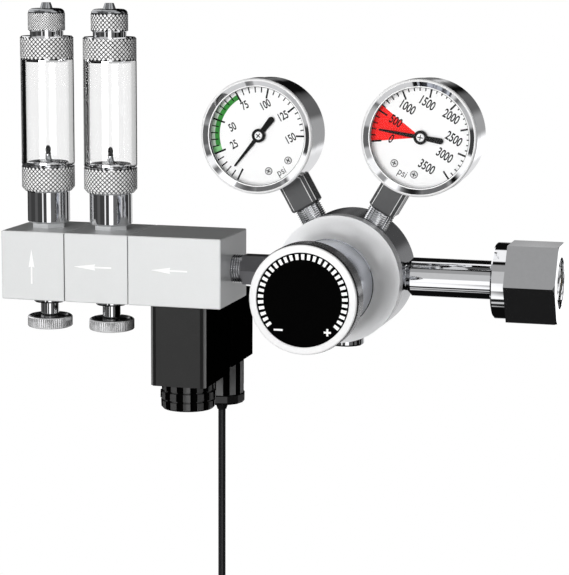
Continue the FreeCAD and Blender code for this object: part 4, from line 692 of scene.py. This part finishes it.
def make_knob():
    """Shell with its knurled grip and bright front ring. Heights are distances in front."""
    front, back = [-place for place in span("knob_shell", Y)]
    lay = at(BODY_X) @ TURN_X
    skirt = [(15.5, back), (16.75, back), (16.75, back + 0.5), (16.6, back + 0.7),
             (16.6, GRIP_BACK + 0.1), (15.5, GRIP_BACK + 0.1)]
    shell = [
        (15.5, GRIP_BACK), (GRIP - 0.9, GRIP_BACK), (GRIP - GRIP_DEPTH, GRIP_BACK + 0.5),
        (GRIP - GRIP_DEPTH, GRIP_FRONT), (GRIP - 0.1, GRIP_FRONT + 0.25),
        (16.9, GRIP_FRONT + 0.25), (16.9, 63.9), (4.0, 63.9), (4.0, 55.0), (7.0, 55.0),
        (7.0, 61.0), (15.5, 61.0),
    ]
    groove = [(16.9, GRIP_FRONT + 0.3), (GRIP - 0.15, GRIP_FRONT + 0.3),
              (GRIP - 0.15, GRIP_FRONT + 0.6), (GRIP - 0.25, GRIP_FRONT + 0.9),
              (16.9, GRIP_FRONT + 0.9)]
    ring = [(16.85, GRIP_FRONT + 0.8), (19.5, GRIP_FRONT + 0.8), (19.5, front - 0.55),
            (19.15, front - 0.2), (17.1, front), (16.85, front - 0.15)]
    turned("knob_skirt", skirt, KNOB_STEPS, "blued_chrome", lay, body="knob",
           stands_for=("knob_shell",))
    turned("knob_shell_turned", shell, KNOB_STEPS, CHROME, lay, body="knob",
           stands_for=("knob_shell",))
    band = knurl(GRIP, GRIP_BACK + 0.4, GRIP_FRONT, GRIP_PITCH, GRIP_DEPTH)
    add_knurl("knob_knurl", band, lay, "knob", "grip_top_highlight")
    turned("knob_groove", groove, KNOB_STEPS, "black_plastic", lay, body="knob")
    turned("knob_ring", ring, KNOB_STEPS, "bright_ring", lay, body="knob")


def make_knob_marks():
    blocks = []
    for number in range(MARK_COUNT):
        angle = -MARK_REACH + 2 * MARK_REACH * number / (MARK_COUNT - 1)
        blocks.append(sector(*MARK_RADII, angle - MARK_HALF, angle + MARK_HALF, 6))
    minus = bar((-10.4, -11.0), (-7.15, -11.0), 0.65)
    plus = cross(1.3, 0.7, 9.07, -11.1)
    add_piece("knob_marks", join(*blocks, minus, plus), "print_and_highlight_white",
              at(BODY_X, span("knob_face", Y)[0] - PRINT_LIFT), body="knob")


make_knob()
make_knob_marks()


# Gauges. Places are (x, z) from the middle of the dial, angles clockwise from the top.
GAUGES = {
    "outlet": {
        "tilt": -29.4, "reading": -141.3, "blade": (15.0, 8.8, 1.2),
        "marks": {0: -153.5, 25: -112.9, 50: -71.5, 75: -30.0, 100: 11.0, 125: 51.2, 150: 89.6},
        "figures": {25: (-9.7, -3.7), 50: (-10.4, 2.8), 75: (-5.6, 11.0),
                    100: (2.3, 11.4), 125: (9.1, 7.3), 150: (12.1, -0.9)},
        "unit": (8.6, -13.2), "major": (14.1, 18.8), "minor": (16.0, 18.8),
        "height": 3.0, "screws": ((3.7, -13.2), (11.2, -9.0)),
    },
    "tank": {
        "tilt": 30.2, "reading": -80.8, "blade": (15.8, 8.5, 1.1),
        "marks": {0: -95.9, 500: -58.7, 1000: -22.8, 1500: 12.1, 2000: 46.1, 2500: 79.0,
                  3000: 111.5, 3500: 145.0},
        "figures": {0: (-11.1, -0.9), 500: (-9.5, 5.6), 1000: (-5.3, 10.8),
                    1500: (2.0, 12.5), 2000: (11.0, 7.7), 2500: (12.1, -0.3),
                    3000: (8.8, -6.4), 3500: (2.2, -10.8)},
        "unit": (-6.7, -13.3), "major": (14.8, 18.7), "minor": (16.9, 18.7),
        "height": 3.35, "screws": ((-9.8, -9.7), (-2.4, -13.7)),
    },
}
FIGURE_WIDTH, FIGURE_BOLD, UNIT_WIDTH, UNIT_HEIGHT = 0.68, 0.019, 0.85, 2.8
MINOR_STEPS, MINOR_WIDTH, MAJOR_WIDTH, DIAL_SCREW = 5, 0.44, 0.66, 1.45
BANDS = {
    "outlet_green_band": ("outlet", (15.4, 17.25, -104.0, -30.0), "print_green"),
    "outlet_pale_band": ("outlet", (15.4, 18.9, -112.9, -104.0, 8), "print_pale_green"),
    "outlet_faint_band": ("outlet", (17.25, 18.9, -104.0, -50.0), "print_faint_green"),
    "tank_red_sector": ("tank", (0.5, 18.7, -96.0, -52.0), "print_red"),
}
INK_LIFT, SLOT_LIFT = 0.05, 0.33


def tick(radii, angle, width):
    return bar(*[polar(radius, angle) for radius in radii], width)


def make_gauge(side, facts):
    """Scale, figures, unit, screws and pointer of one dial."""
    centre = middle(f"{side}_dial")
    plane = span(f"{side}_dial", Y)[0]
    ink = plane - INK_LIFT
    angles = list(facts["marks"].values())
    ticks = []
    for angle, following in zip(angles, angles[1:]):
        for step in range(1, MINOR_STEPS):
            here = angle + (following - angle) * step / MINOR_STEPS
            ticks.append(tick(facts["minor"], here, MINOR_WIDTH))
    ticks.extend(tick(facts["major"], angle, MAJOR_WIDTH) for angle in angles)
    add_piece(f"{side}_ticks", join(*ticks), "print_and_shade_black", at(centre.x, ink, centre.z))
    for label, (x, z) in facts["figures"].items():
        words(f"{side}_figure_{label}", label, centre.x + x, centre.z + z, facts["height"],
              FIGURE_WIDTH, facts["tilt"], ink, bold=FIGURE_BOLD)
    x, z = facts["unit"]
    words(f"{side}_unit", "psi", centre.x + x, centre.z + z, UNIT_HEIGHT, UNIT_WIDTH,
          facts["tilt"], ink)
    for number, (x, z) in enumerate(facts["screws"], start=1):
        make_dial_screw(f"{side}_dial_screw_{number}", centre.x + x, plane, centre.z + z)
    make_pointer(side, centre, facts)


def make_dial_screw(name, x, plane, z):
    """Flat-headed screw with a cross slot and a dark gap round it, both painted shade: a dark disc
    under the head and a black cross over it.
    """
    radius = DIAL_SCREW
    lay = at(x, plane, z) @ TURN_X
    gap = [(0.01, 0.0), (radius, 0.0), (radius, 0.08), (0.01, 0.08)]
    # Dark disc under the head: painted shade in the gap
    turned(f"{name}_gap", gap, 28, "socket_grey", lay)
    head = [(0.01, 0.0), (radius * 0.8, 0.0), (radius * 0.8, 0.2), (radius * 0.6, 0.3),
            (0.01, 0.3)]
    turned(name, head, 28, "screw_grey", lay)
    # Black cross: painted shade for the slot
    add_piece(f"{name}_slot", cross(radius * 0.6, radius * 0.24), "print_and_shade_black",
              at(x, plane - SLOT_LIFT, z) @ rotated(20))


def make_pointer(side, centre, facts):
    """Blade with a round tail, hub ring, arbor cap and arbor. Node and body share a name."""
    node = f"{side}_pointer"
    front, back = span(node, Y)
    tip, tail, wide = facts["blade"]
    outline = [(0.8, 0.0), (0.34, tip - 0.3), (0.15, tip), (-0.15, tip), (-0.34, tip - 0.3),
               (-0.8, 0.0)]
    for step in range(9):
        angle = radians(180 + 180 * step / 8)
        outline.append((wide * cos(angle), -tail + wide + wide * sin(angle)))
    thick = 0.4
    count = len(outline)
    points = [(x, y, z) for y in (0.0, thick) for x, z in outline]
    faces = [list(range(count))[::-1], list(range(count, 2 * count))]
    for step in range(count):
        after = (step + 1) % count
        faces.append([step, after, after + count, step + count])
    place = at(centre.x, front, centre.z)
    swung = place @ rotated(facts["reading"])
    add_piece(f"{side}_blade", (points, faces), "pointer_black", swung, node, stands_for=(node,))
    ring = [(1.55, -0.4), (2.55, -0.4), (2.55, 0.35), (2.2, 0.55), (1.85, 0.55), (1.55, 0.3)]
    turned(f"{side}_hub", ring, 48, "pointer_black", place @ TURN_X, body=node)
    cap = [(0.01, -0.3), (1.5, -0.3), (1.5, 0.25), (1.3, 0.42), (0.01, 0.5)]
    turned(f"{side}_cap", cap, 40, "satin_silver", place @ TURN_X, body=node)
    # The black cross is painted shade for the slot in the cap
    add_piece(f"{side}_cap_slot", cross(1.0, 0.34), "print_and_shade_black",
              swung @ at(0, -0.55), node)
    arbor = [(0.01, -0.3), (0.6, -0.3), (0.6, front - back), (0.01, front - back)]
    turned(f"{side}_arbor", arbor, 20, "turned_steel", place @ TURN_X, body=node)


def make_bands():
    for name, (side, facts, material) in BANDS.items():
        centre, plane = middle(f"{side}_dial"), span(f"{side}_dial", Y)[0]
        add_piece(name, sector(*facts), material, at(centre.x, plane - PRINT_LIFT, centre.z))


for side, facts in GAUGES.items():
    make_gauge(side, facts)
make_bands()


BEZEL_STEPS = 192
SOCKET_Y, SHOULDER, STEM_END, CASE_SINK = -3.9, 29.4, 17.5, 20.0
# Half width and outward reach of the painted highlight lines along the socket edges
HIGHLIGHT_HALF, HIGHLIGHT_OUT = 0.16, 1.006


def make_bezels():
    """Rings that hold the lenses: rounded lip painted bright as a painted highlight,
    mirrored slope, inner step painted black as painted shade, and a bright inner line as a
    painted highlight.
    """
    front, back = [-place for place in span("gauge_bezels", Y)]
    profile = [
        (21.2, back), (21.5, back), (21.5, front - 1.0), (21.25, front - 0.4),
        (20.9, front - 0.1), (20.5, front), (18.75, front - 1.1), (18.25, front - 1.2),
        (18.25, front - 1.28), (20.9, front - 1.28), (20.9, back),
    ]
    line = [(18.4, front - 1.2), (18.8, front - 1.2), (18.8, front - 1.05), (18.4, front - 1.08)]
    for side in GAUGES:
        dial = middle(f"{side}_dial")
        lay = at(dial.x, 0.0, dial.z) @ TURN_X
        piece = turned(f"{side}_bezel", profile, BEZEL_STEPS, CHROME, lay, sharp=20.0,
                       stands_for=("gauge_bezels",))
        # Painted highlight on the lip and painted shade on the inner step
        paint_faces(piece, bands(BEZEL_STEPS, 2, 4), "bright_ring")
        paint_faces(piece, bands(BEZEL_STEPS, 6, 7), "print_and_shade_black")
        # Bright inner line: a painted highlight
        turned(f"{side}_bezel_line", line, BEZEL_STEPS, "bright_ring", lay)


def make_sockets():
    """Square gauge sockets with bevelled edges on threaded stems, set into the body. White lines
    along the edges are painted highlights.
    """
    near, far = 4.0, 5.3
    square = [(far, -near), (far, near), (near, far), (-near, far), (-far, near), (-far, -near),
              (-near, -far), (near, -far)]
    for side, facts in GAUGES.items():
        dial = middle(f"{side}_dial")
        case_side = hypot(dial.x - BODY_X, dial.z) - CASE_SINK
        lay = at(BODY_X, SOCKET_Y) @ rotated(facts["tilt"])
        block = stack(square, [(SHOULDER, 0.9), (SHOULDER + 0.5, 1.0), (case_side, 1.0)])
        stem = lathe([(0.8, STEM_END), (4.45, STEM_END), (4.45, SHOULDER + 0.2),
                      (0.8, SHOULDER + 0.2)], 48)
        add_piece(f"{side}_socket", join(block, stem), "socket_grey", lay,
                  stands_for=("gauge_sockets",))
        # White lines along the socket's edges: painted highlights
        lines = []
        for x, y in square:
            along = Vector((y, -x)).normalized() * HIGHLIGHT_HALF
            ends = [(x * HIGHLIGHT_OUT + along.x * sign, y * HIGHLIGHT_OUT + along.y * sign)
                    for sign in (-1, 1)]
            lines.append(([(*ends[0], SHOULDER + 0.6), (*ends[1], SHOULDER + 0.6),
                           (*ends[1], case_side - 0.2), (*ends[0], case_side - 0.2)],
                          [[0, 1, 2, 3]]))
        add_piece(f"{side}_socket_edge_highlights", join(*lines), "print_and_highlight_white", lay)
        add_piece(f"{side}_socket_thread", thread(4.5, 5.15, 21.0, 29.35, 0.8), CHROME, lay)


make_bezels()
make_sockets()


# Manifold
# Place along the blocks, then (x, z) of the tip, the back of the head and the tail's end
ARROWS = {
    "arrow_1": (-202.9, (0.0, 6.5), (0.0, -0.6), (0.0, -7.0)),
    "arrow_2": (-177.5, (-8.0, 0.6), (0.9, 0.6), (7.4, 0.6)),
    "arrow_3": (-146.5, (-7.5, 0.6), (0.3, 0.6), (7.0, 0.6)),
}
SEAMS = {"seam_1": ("valve_block_1", 0.26), "seam_2": ("valve_block_2", 0.18)}
NIPPLE_NEAR = (-109.6, -104.2)


def make_arrows():
    for name, (x, *spots) in ARROWS.items():
        tip, head, tail = map(Vector, spots)
        along = (tip - head).normalized()
        side = Vector((-along.y, along.x))
        barb, shaft, notch = side * 1.2, side * 0.32, head + along * 0.4
        outline = [tip, head + barb, notch + shaft, tail + shaft, tail - shaft, notch - shaft,
                   head - barb]
        add_piece(name, flat(outline), "print_and_highlight_white", at(x, BLOCK_FRONT - PRINT_LIFT))


def make_nipple_threads():
    """Threads at both ends of the hexagon nipple."""
    near = span("solenoid_block", X)[1]
    for name, (start, end) in {"far": (near - 0.5, near + 4.4), "near": NIPPLE_NEAR}.items():
        add_piece(f"nipple_thread_{name}", thread(4.75, 5.45, 0.0, end - start, 0.95), CHROME,
                  at(start) @ TURN_Y)


def make_seams():
    """Dark lines where the blocks meet."""
    low, high = span("solenoid_block", Z)[0] + 0.3, BLOCK_TOP - 0.3
    for name, (block, width) in SEAMS.items():
        x = span(block, X)[1]
        add_piece(name, bar((x, low), (x, high), width), "print_and_shade_black",
                  at(0, BLOCK_FRONT - LINE_AND_SHADE_LIFT))


make_arrows()
make_nipple_threads()
make_seams()


# Bubble counters
COUNTER_STEPS, CAP_STEPS = 128, 96
STEM, BORE, RING, CAP = 8.27, 0.9, 10.35, 6.85
RING_PITCH, CAP_PITCHES = 1.75, {1: 1.0, 2: 1.6}
RING_DEPTH, CAP_DEPTH = 0.34, 0.32
HEXAGON_TOP, STEM_TOP = BLOCK_TOP + 1.9, BLOCK_TOP + 14.1
CONE_TOP = STEM_TOP + 1.8


def make_counter_base(number, spot, ring_top):
    """Hexagon, stem and lower knurled ring with the dark well inside the tube."""
    sunk, foot = RING - RING_DEPTH, BLOCK_TOP - 6.5
    profile = [
        (BORE, foot), (4.85, foot), (4.85, HEXAGON_TOP), (STEM - 0.6, HEXAGON_TOP),
        (STEM, HEXAGON_TOP + 0.6), (STEM, STEM_TOP), (8.45, STEM_TOP), (sunk, CONE_TOP),
        (sunk, ring_top - 0.9), (RING - 0.15, ring_top - 0.6), (RING - 0.15, ring_top - 0.25),
        (RING - 0.4, ring_top), (8.05, ring_top), (8.05, ring_top + 0.55),
        (7.8, ring_top + 0.8), (4.2, ring_top + 0.8), (3.8, ring_top + 0.5),
        (BORE, ring_top + 0.5),
    ]
    neck = stack(ring_of(6.95, 6, -72), [(BLOCK_TOP, 1.0), (HEXAGON_TOP + 0.05, 1.0)])
    add_piece(f"counter_neck_{number}", neck, "hexagon_grey", spot)
    band = knurl(RING, STEM_TOP + 0.15, ring_top - 0.8, RING_PITCH, RING_DEPTH,
                 (8.95, CONE_TOP))
    add_knurl(f"counter_base_knurl_{number}", band, spot)
    piece = turned(f"counter_base_{number}", profile, COUNTER_STEPS, CHROME, spot,
                   stands_for=("counter_bases",))
    paint_faces(piece, bands(COUNTER_STEPS, 14, 16), "socket_grey")


def make_counter_head(number, spot, glass_top):
    """Upper knurled ring and the cap nut on it."""
    sunk = RING - RING_DEPTH
    head_top = glass_top + 9.1
    cap_low = head_top + 1.9
    cap_top = cap_low + 8.8
    head = [
        (BORE, glass_top - 0.8), (8.05, glass_top - 0.8), (8.05, glass_top), (sunk, glass_top),
        (sunk, head_top - 0.4), (RING - 0.5, head_top), (6.45, head_top), (6.45, cap_low),
        (5.1, cap_low), (5.1, cap_low + 6.0), (BORE, cap_low + 6.0),
    ]
    cap = [
        (5.15, cap_low), (6.7, cap_low), (CAP, cap_low + 0.3), (CAP, cap_top - 1.8),
        (7.1, cap_top - 1.55), (6.9, cap_top - 1.0), (6.4, cap_top - 0.45),
        (5.6, cap_top - 0.1), (4.6, cap_top), (1.95, cap_top), (1.95, cap_low + 7.0),
        (5.15, cap_low + 7.0),
    ]
    band = knurl(RING, glass_top + 0.1, head_top - 0.25, RING_PITCH, RING_DEPTH)
    add_knurl(f"counter_head_knurl_{number}", band, spot)
    turned(f"counter_head_{number}", head, COUNTER_STEPS, CHROME, spot,
           stands_for=("counter_heads",))
    band = knurl(CAP + 0.35, cap_low + 0.25, cap_top - 1.7, CAP_PITCHES[number], CAP_DEPTH)
    add_knurl(f"counter_cap_knurl_{number}", band, spot)
    piece = turned(f"counter_cap_{number}", cap, CAP_STEPS, CHROME, spot,
                   stands_for=("counter_cap_nuts",))
    # The top of the cap nut is painted a darker chrome: painted shade
    paint_faces(piece, bands(CAP_STEPS, 3, 8), "grey_chrome_and_shade")


def make_jet(number, spot, foot):
    """Bubble jet: flared foot and a black bulb."""
    flare = [(0.5, foot), (2.6, foot), (2.3, foot + 0.35), (1.5, foot + 0.6),
             (1.25, foot + 1.2), (1.0, foot + 2.7), (0.5, foot + 2.7)]
    turned(f"counter_jet_{number}", flare, 36, "grey_chrome_and_shade", spot,
           stands_for=("counter_nozzles",))
    bulb = [(0.01, foot + 2.3), (0.9, foot + 2.4), (1.15, foot + 3.1), (0.8, foot + 3.7),
            (1.1, foot + 4.3), (1.05, foot + 5.0), (0.6, foot + 6.0), (0.01, foot + 6.3)]
    turned(f"counter_jet_tip_{number}", bulb, 32, "flat_black", spot)


def make_counters():
    glass_low, glass_top = span("counter_tubes", Z)
    for number, x in VALVES.items():
        make_counter_base(number, at(x), glass_low)
        make_counter_head(number, at(x), glass_top)
        make_jet(number, at(x), glass_low + 0.8)


make_counters()


# Needle valves and solenoid
FLUTED_STEPS = 288
MILLED_FROM, MILLED_DEPTH, MILLED_RIBS = 8.7, 0.16, 36
FLUTED_FROM, FLUTE_DEPTH, FLUTES, FLUTE_POWER, FLUTE_SHADE = 9.9, 1.9, 12, 0.6, 0.05


def milled(angle, radius):
    if radius < MILLED_FROM:
        return radius
    return radius - MILLED_DEPTH * abs(sin(angle * MILLED_RIBS))


def fluted(angle, radius):
    if radius < FLUTED_FROM:
        return radius
    return radius - FLUTE_DEPTH * max(0.0, cos(angle * FLUTES)) ** FLUTE_POWER


def make_needle_knobs():
    for number, x in VALVES.items():
        node = f"valve_knob_{number}"
        bottom, top = span(node, Z)
        profile = [
            (0.01, bottom), (7.9, bottom), (8.6, bottom + 0.25), (8.87, bottom + 0.6),
            (8.87, top - 0.7), (8.55, top - 0.3), (8.0, top), (7.2, top), (6.6, top - 0.55),
            (3.87, top - 1.0), (3.87, top - 3.4), (1.85, top - 3.4), (1.85, bottom + 0.5),
            (0.01, bottom + 0.5),
        ]
        piece = turned(f"needle_knob_milled_{number}", profile, FLUTED_STEPS, CHROME,
                       at(x), milled, body=f"needle_knob_{number}", sharp=25.0,
                       stands_for=(node,))
        paint_faces(piece, bands(FLUTED_STEPS, 2, 4), "milled_edge")
        # Dished top painted glossy black: painted reflection of dark surroundings in the chrome
        paint_faces(piece, bands(FLUTED_STEPS, 5, 9), "nut_plastic_and_dark_reflection")


def make_coil_nut():
    """Nut under the coil: three fluted rings, painted black inside the flutes as painted shade."""
    bottom, top = span("coil_nut", Z)
    profile = [
        (4.75, top), (9.6, top), (10.3, top - 0.4), (10.3, top - 2.9), (9.7, top - 3.1),
        (9.7, top - 3.4), (10.8, top - 3.6), (10.85, top - 6.4), (9.8, top - 6.7),
        (9.8, top - 7.0), (10.6, top - 7.2), (10.5, bottom + 0.7), (9.8, bottom),
        (0.01, bottom), (0.01, bottom + 1.6), (3.6, bottom + 1.6), (3.6, top - 1.3),
        (4.75, top - 1.3),
    ]
    piece = turned("coil_nut_fluted", profile, FLUTED_STEPS, "lug_grey", at(COIL_X), fluted,
                   stands_for=("coil_nut",))
    # Flutes painted black: painted shade
    paint_faces(piece, [
        face for face in range(len(piece.data.polygons))
        if cos(tau * (face % FLUTED_STEPS + 0.5) / FLUTED_STEPS * FLUTES) > FLUTE_SHADE
    ], "flat_black")


def make_gland():
    """Ribbed neck of the cable plug, a twenty-sided prism whose every other facet is painted grey
    as a painted highlight, and the ring under it.
    """
    low, high = span("gland_nut", Z)[0], span("coil_housing", Z)[0]
    spot, sides = at(COIL_X, GLAND_Y), 20
    ring = [(1.7, low), (8.8, low), (9.7, low + 1.0), (9.7, low + 3.7), (9.2, low + 4.1),
            (1.7, low + 4.1)]
    turned("gland_ring", ring, 12, "nut_plastic_and_dark_reflection", spot, sharp=20.0, stands_for=("gland_nut",))
    neck = stack(ring_of(9.0, sides, -88.3), [(low + 4.0, 1.0), (high, 1.0)])
    piece = add_piece("gland_neck", neck, "flat_black", spot, sharp=10.0)
    # Every other facet painted grey: painted highlights
    paint_faces(piece, range(0, sides, 2), "rib_highlight_grey")


def make_coil_margins():
    """Painted shade: darker margins of the coil's front face, just inside its bevels."""
    left, right = span("coil_housing", X)
    low, high = span("coil_housing", Z)
    front = span("coil_housing", Y)[0] - LINE_AND_SHADE_LIFT
    strips = [bar((x, low), (x, high), 1.2) for x in (left + 1.9, right - 1.45)]
    add_piece("coil_painted_shade", join(*strips), "print_and_shade_black", at(0, front))


def make_nut_thread():
    """Thread inside the mouth of the tank nut; its faces look inwards."""
    crest, root, depth, pitch = 9.2, 9.66, 12.6, 1.814
    points, faces = thread(root, crest, 0.0, depth, pitch, 96)
    add_piece("tank_nut_thread", (points, [face[::-1] for face in faces]), CHROME,
              at(-depth - 0.2) @ TURN_Y, "tank_nut")


make_needle_knobs()
make_coil_nut()
make_gland()
make_coil_margins()
make_nut_thread()


# Studio: what polished metal mirrors, as soft boxes and flags. Degrees round from the front
# (-Y) towards +X, degrees up, half widths both ways, brightness. Later ones cover earlier.
PANELS = {
    "left wide": (-60, -7, 70, 16, 0.05),
    "below": (0, -57, 75, 17, 0.65),
    "below, pipe": (-17, -53, 6, 5, 0.012),
    "below, nut": (-23, -70, 9, 6, 0.012),
    "back middle": (189, 4, 6, 7, 0.16),
    "back low right": (172, -20, 26, 11, 0.75),
    "right far edge": (164, -2, 8, 10, 0.35),
    "nut top": (188.4, 9.3, 1.5, 1, 1.0),
    "nut mouth": (172.5, -8, 3.5, 4, 1.3),
    "body side": (171, 10, 7, 5, 0.12),
    "right edge": (133, 0, 6, 40, 0.34),
    "right flag gap": (109, 0, 3, 40, 0.14),
    "right strip": (76, 0, 8, 45, 0.1),
    "right faint": (45, 0, 12, 42, 0.13),
    "right low": (51, -31, 5, 15, 0.5),
    "right high": (51, 21, 5, 15, 0.5),
    "left faint": (-50, 0, 9, 35, 0.1),
    "left far": (-105, 5, 14, 40, 0.08),
    "left low box": (-80, -31, 9, 17, 0.5),
    "upper left box": (-108, 35, 42, 27, 1.1),
    "upper right box": (70, 40, 32, 22, 1.0),
    "front lower": (-47, -33, 17, 15, 0.6),
    "front middle": (-22, 18, 30, 18, 0.55),
    "front upper": (-15, 45, 75, 10, 0.33),
    "bezel dark": (-45, 50, 16, 12, 0.16),
    "pipe strip": (-11, -12, 3, 12, 1.1),
    "collar strip": (-15, -36, 4, 12, 1.1),
    "tall strip": (21, 5, 11, 48, 1.25),
    "overhead": (0, 78, 180, 13, 0.95),
}
SOFT_LIGHT, UNLIT, PANEL_EDGE, PANEL_BLUE = 0.16, 0.004, 2.0, 1.01
# What rays that were mirrored inside a clear wall meet below the horizon: black, and grey
# on the right of a line behind the part. Degrees round from the back towards +X.
WALL_LINE, WALL_GREY, HORIZON = (-18.0, -12.0), 0.62, 0.04
KEY_SPOT, KEY_AIM, KEY_SIZE, KEY_POWER = (-0.32, -1.5, 0.05), (-0.1, 0, 0), 0.9, 23.0
FLOOR_REACH, FLOOR_DROP, FLOOR_TONE = 6.0, 0.01, 0.85


def make_world():
    """White to the eye; metal mirrors the panels; soft light falls from all round."""
    world = bpy.data.worlds.new("studio")
    scene.world = world
    world.use_nodes = True
    n = Nodes(world.node_tree)
    x, y, z = n.add("ShaderNodeSeparateXYZ", {0: n.coordinates("Generated")}).outputs

    def degrees(angle):
        return n.times(angle, 180 / pi)

    def within(distance, half):
        return n.smooth_step(distance, half + PANEL_EDGE, half - PANEL_EDGE)

    round_front = degrees(n.maths("ARCTAN2", x, n.times(y, -1.0)))
    upward = degrees(n.maths("ARCSINE", z))
    mirrored = grey(UNLIT)
    for azimuth, height, half_wide, half_tall, bright in PANELS.values():
        aside = n.maths("WRAP", n.maths("SUBTRACT", round_front, azimuth), 180.0, -180.0)
        above = n.maths("SUBTRACT", upward, height)
        inside = n.times(within(n.maths("ABSOLUTE", aside), half_wide),
                         within(n.maths("ABSOLUTE", above), half_tall))
        mirrored = n.mix(inside, mirrored, (bright, bright, bright * PANEL_BLUE, 1.0))
    round_back = degrees(n.maths("ARCTAN2", x, y))
    wall = n.mix(n.smooth_step(round_back, *WALL_LINE), grey(UNLIT), grey(WALL_GREY))
    inside_wall = n.mix(n.smooth_step(z, -HORIZON, HORIZON), wall, mirrored)
    path = n.add("ShaderNodeLightPath").outputs
    bounced = n.maths("MINIMUM", path["Glossy Depth"], 1.0)
    bent = n.background(n.mix(bounced, WHITE, inside_wall))
    lit = n.mix_shaders(path["Is Glossy Ray"], n.background(WHITE, SOFT_LIGHT),
                        n.background(mirrored))
    unseen = n.mix_shaders(path["Is Transmission Ray"], lit, bent)
    seen = n.mix_shaders(path["Is Camera Ray"], unseen, n.background(WHITE))
    n.output(seen, "ShaderNodeOutputWorld")


def make_floor():
    """Pale floor under the hanging cord: white to the eye, open from below."""
    level, reach = cad_box[0][Z] - FLOOR_DROP, FLOOR_REACH
    mesh = bpy.data.meshes.new("floor")
    corners = ((-1, -1), (1, -1), (1, 1), (-1, 1))
    mesh.from_pydata([(x * reach, y * reach, level) for x, y in corners], [], [[0, 1, 2, 3]])
    material, n = new_material("floor_white")
    path = n.add("ShaderNodeLightPath").outputs
    pale = n.add("ShaderNodeBsdfDiffuse", {"Color": grey(FLOOR_TONE)})
    white = n.add("ShaderNodeEmission", {"Color": WHITE, "Strength": 1.0})
    clear = n.add("ShaderNodeBsdfTransparent")
    from_below = n.add("ShaderNodeNewGeometry").outputs["Backfacing"]
    bent = n.maths("MAXIMUM", path["Is Glossy Ray"], path["Is Transmission Ray"])
    lit = n.mix_shaders(n.maths("MAXIMUM", bent, from_below), pale, clear)
    seen = n.times(path["Is Camera Ray"], n.maths("SUBTRACT", 1.0, from_below))
    n.output(n.mix_shaders(seen, lit, white))
    mesh.materials.append(material)
    floor = add_object("floor", mesh)


def make_key_light():
    """Broad soft light from the front, which metal doesn't mirror."""
    lamp = bpy.data.lights.new("key_light", "AREA")
    lamp.shape = "RECTANGLE"
    lamp.size = lamp.size_y = KEY_SIZE
    lamp.energy = KEY_POWER
    holder = add_object("key_light", lamp)
    holder.location = Vector(KEY_SPOT)
    aim = Vector(KEY_AIM) - Vector(KEY_SPOT)
    holder.rotation_euler = aim.to_track_quat("-Z", "Y").to_euler()
    holder.visible_glossy = False


make_world()
make_floor()
make_key_light()
scene.view_settings.view_transform = "Standard"
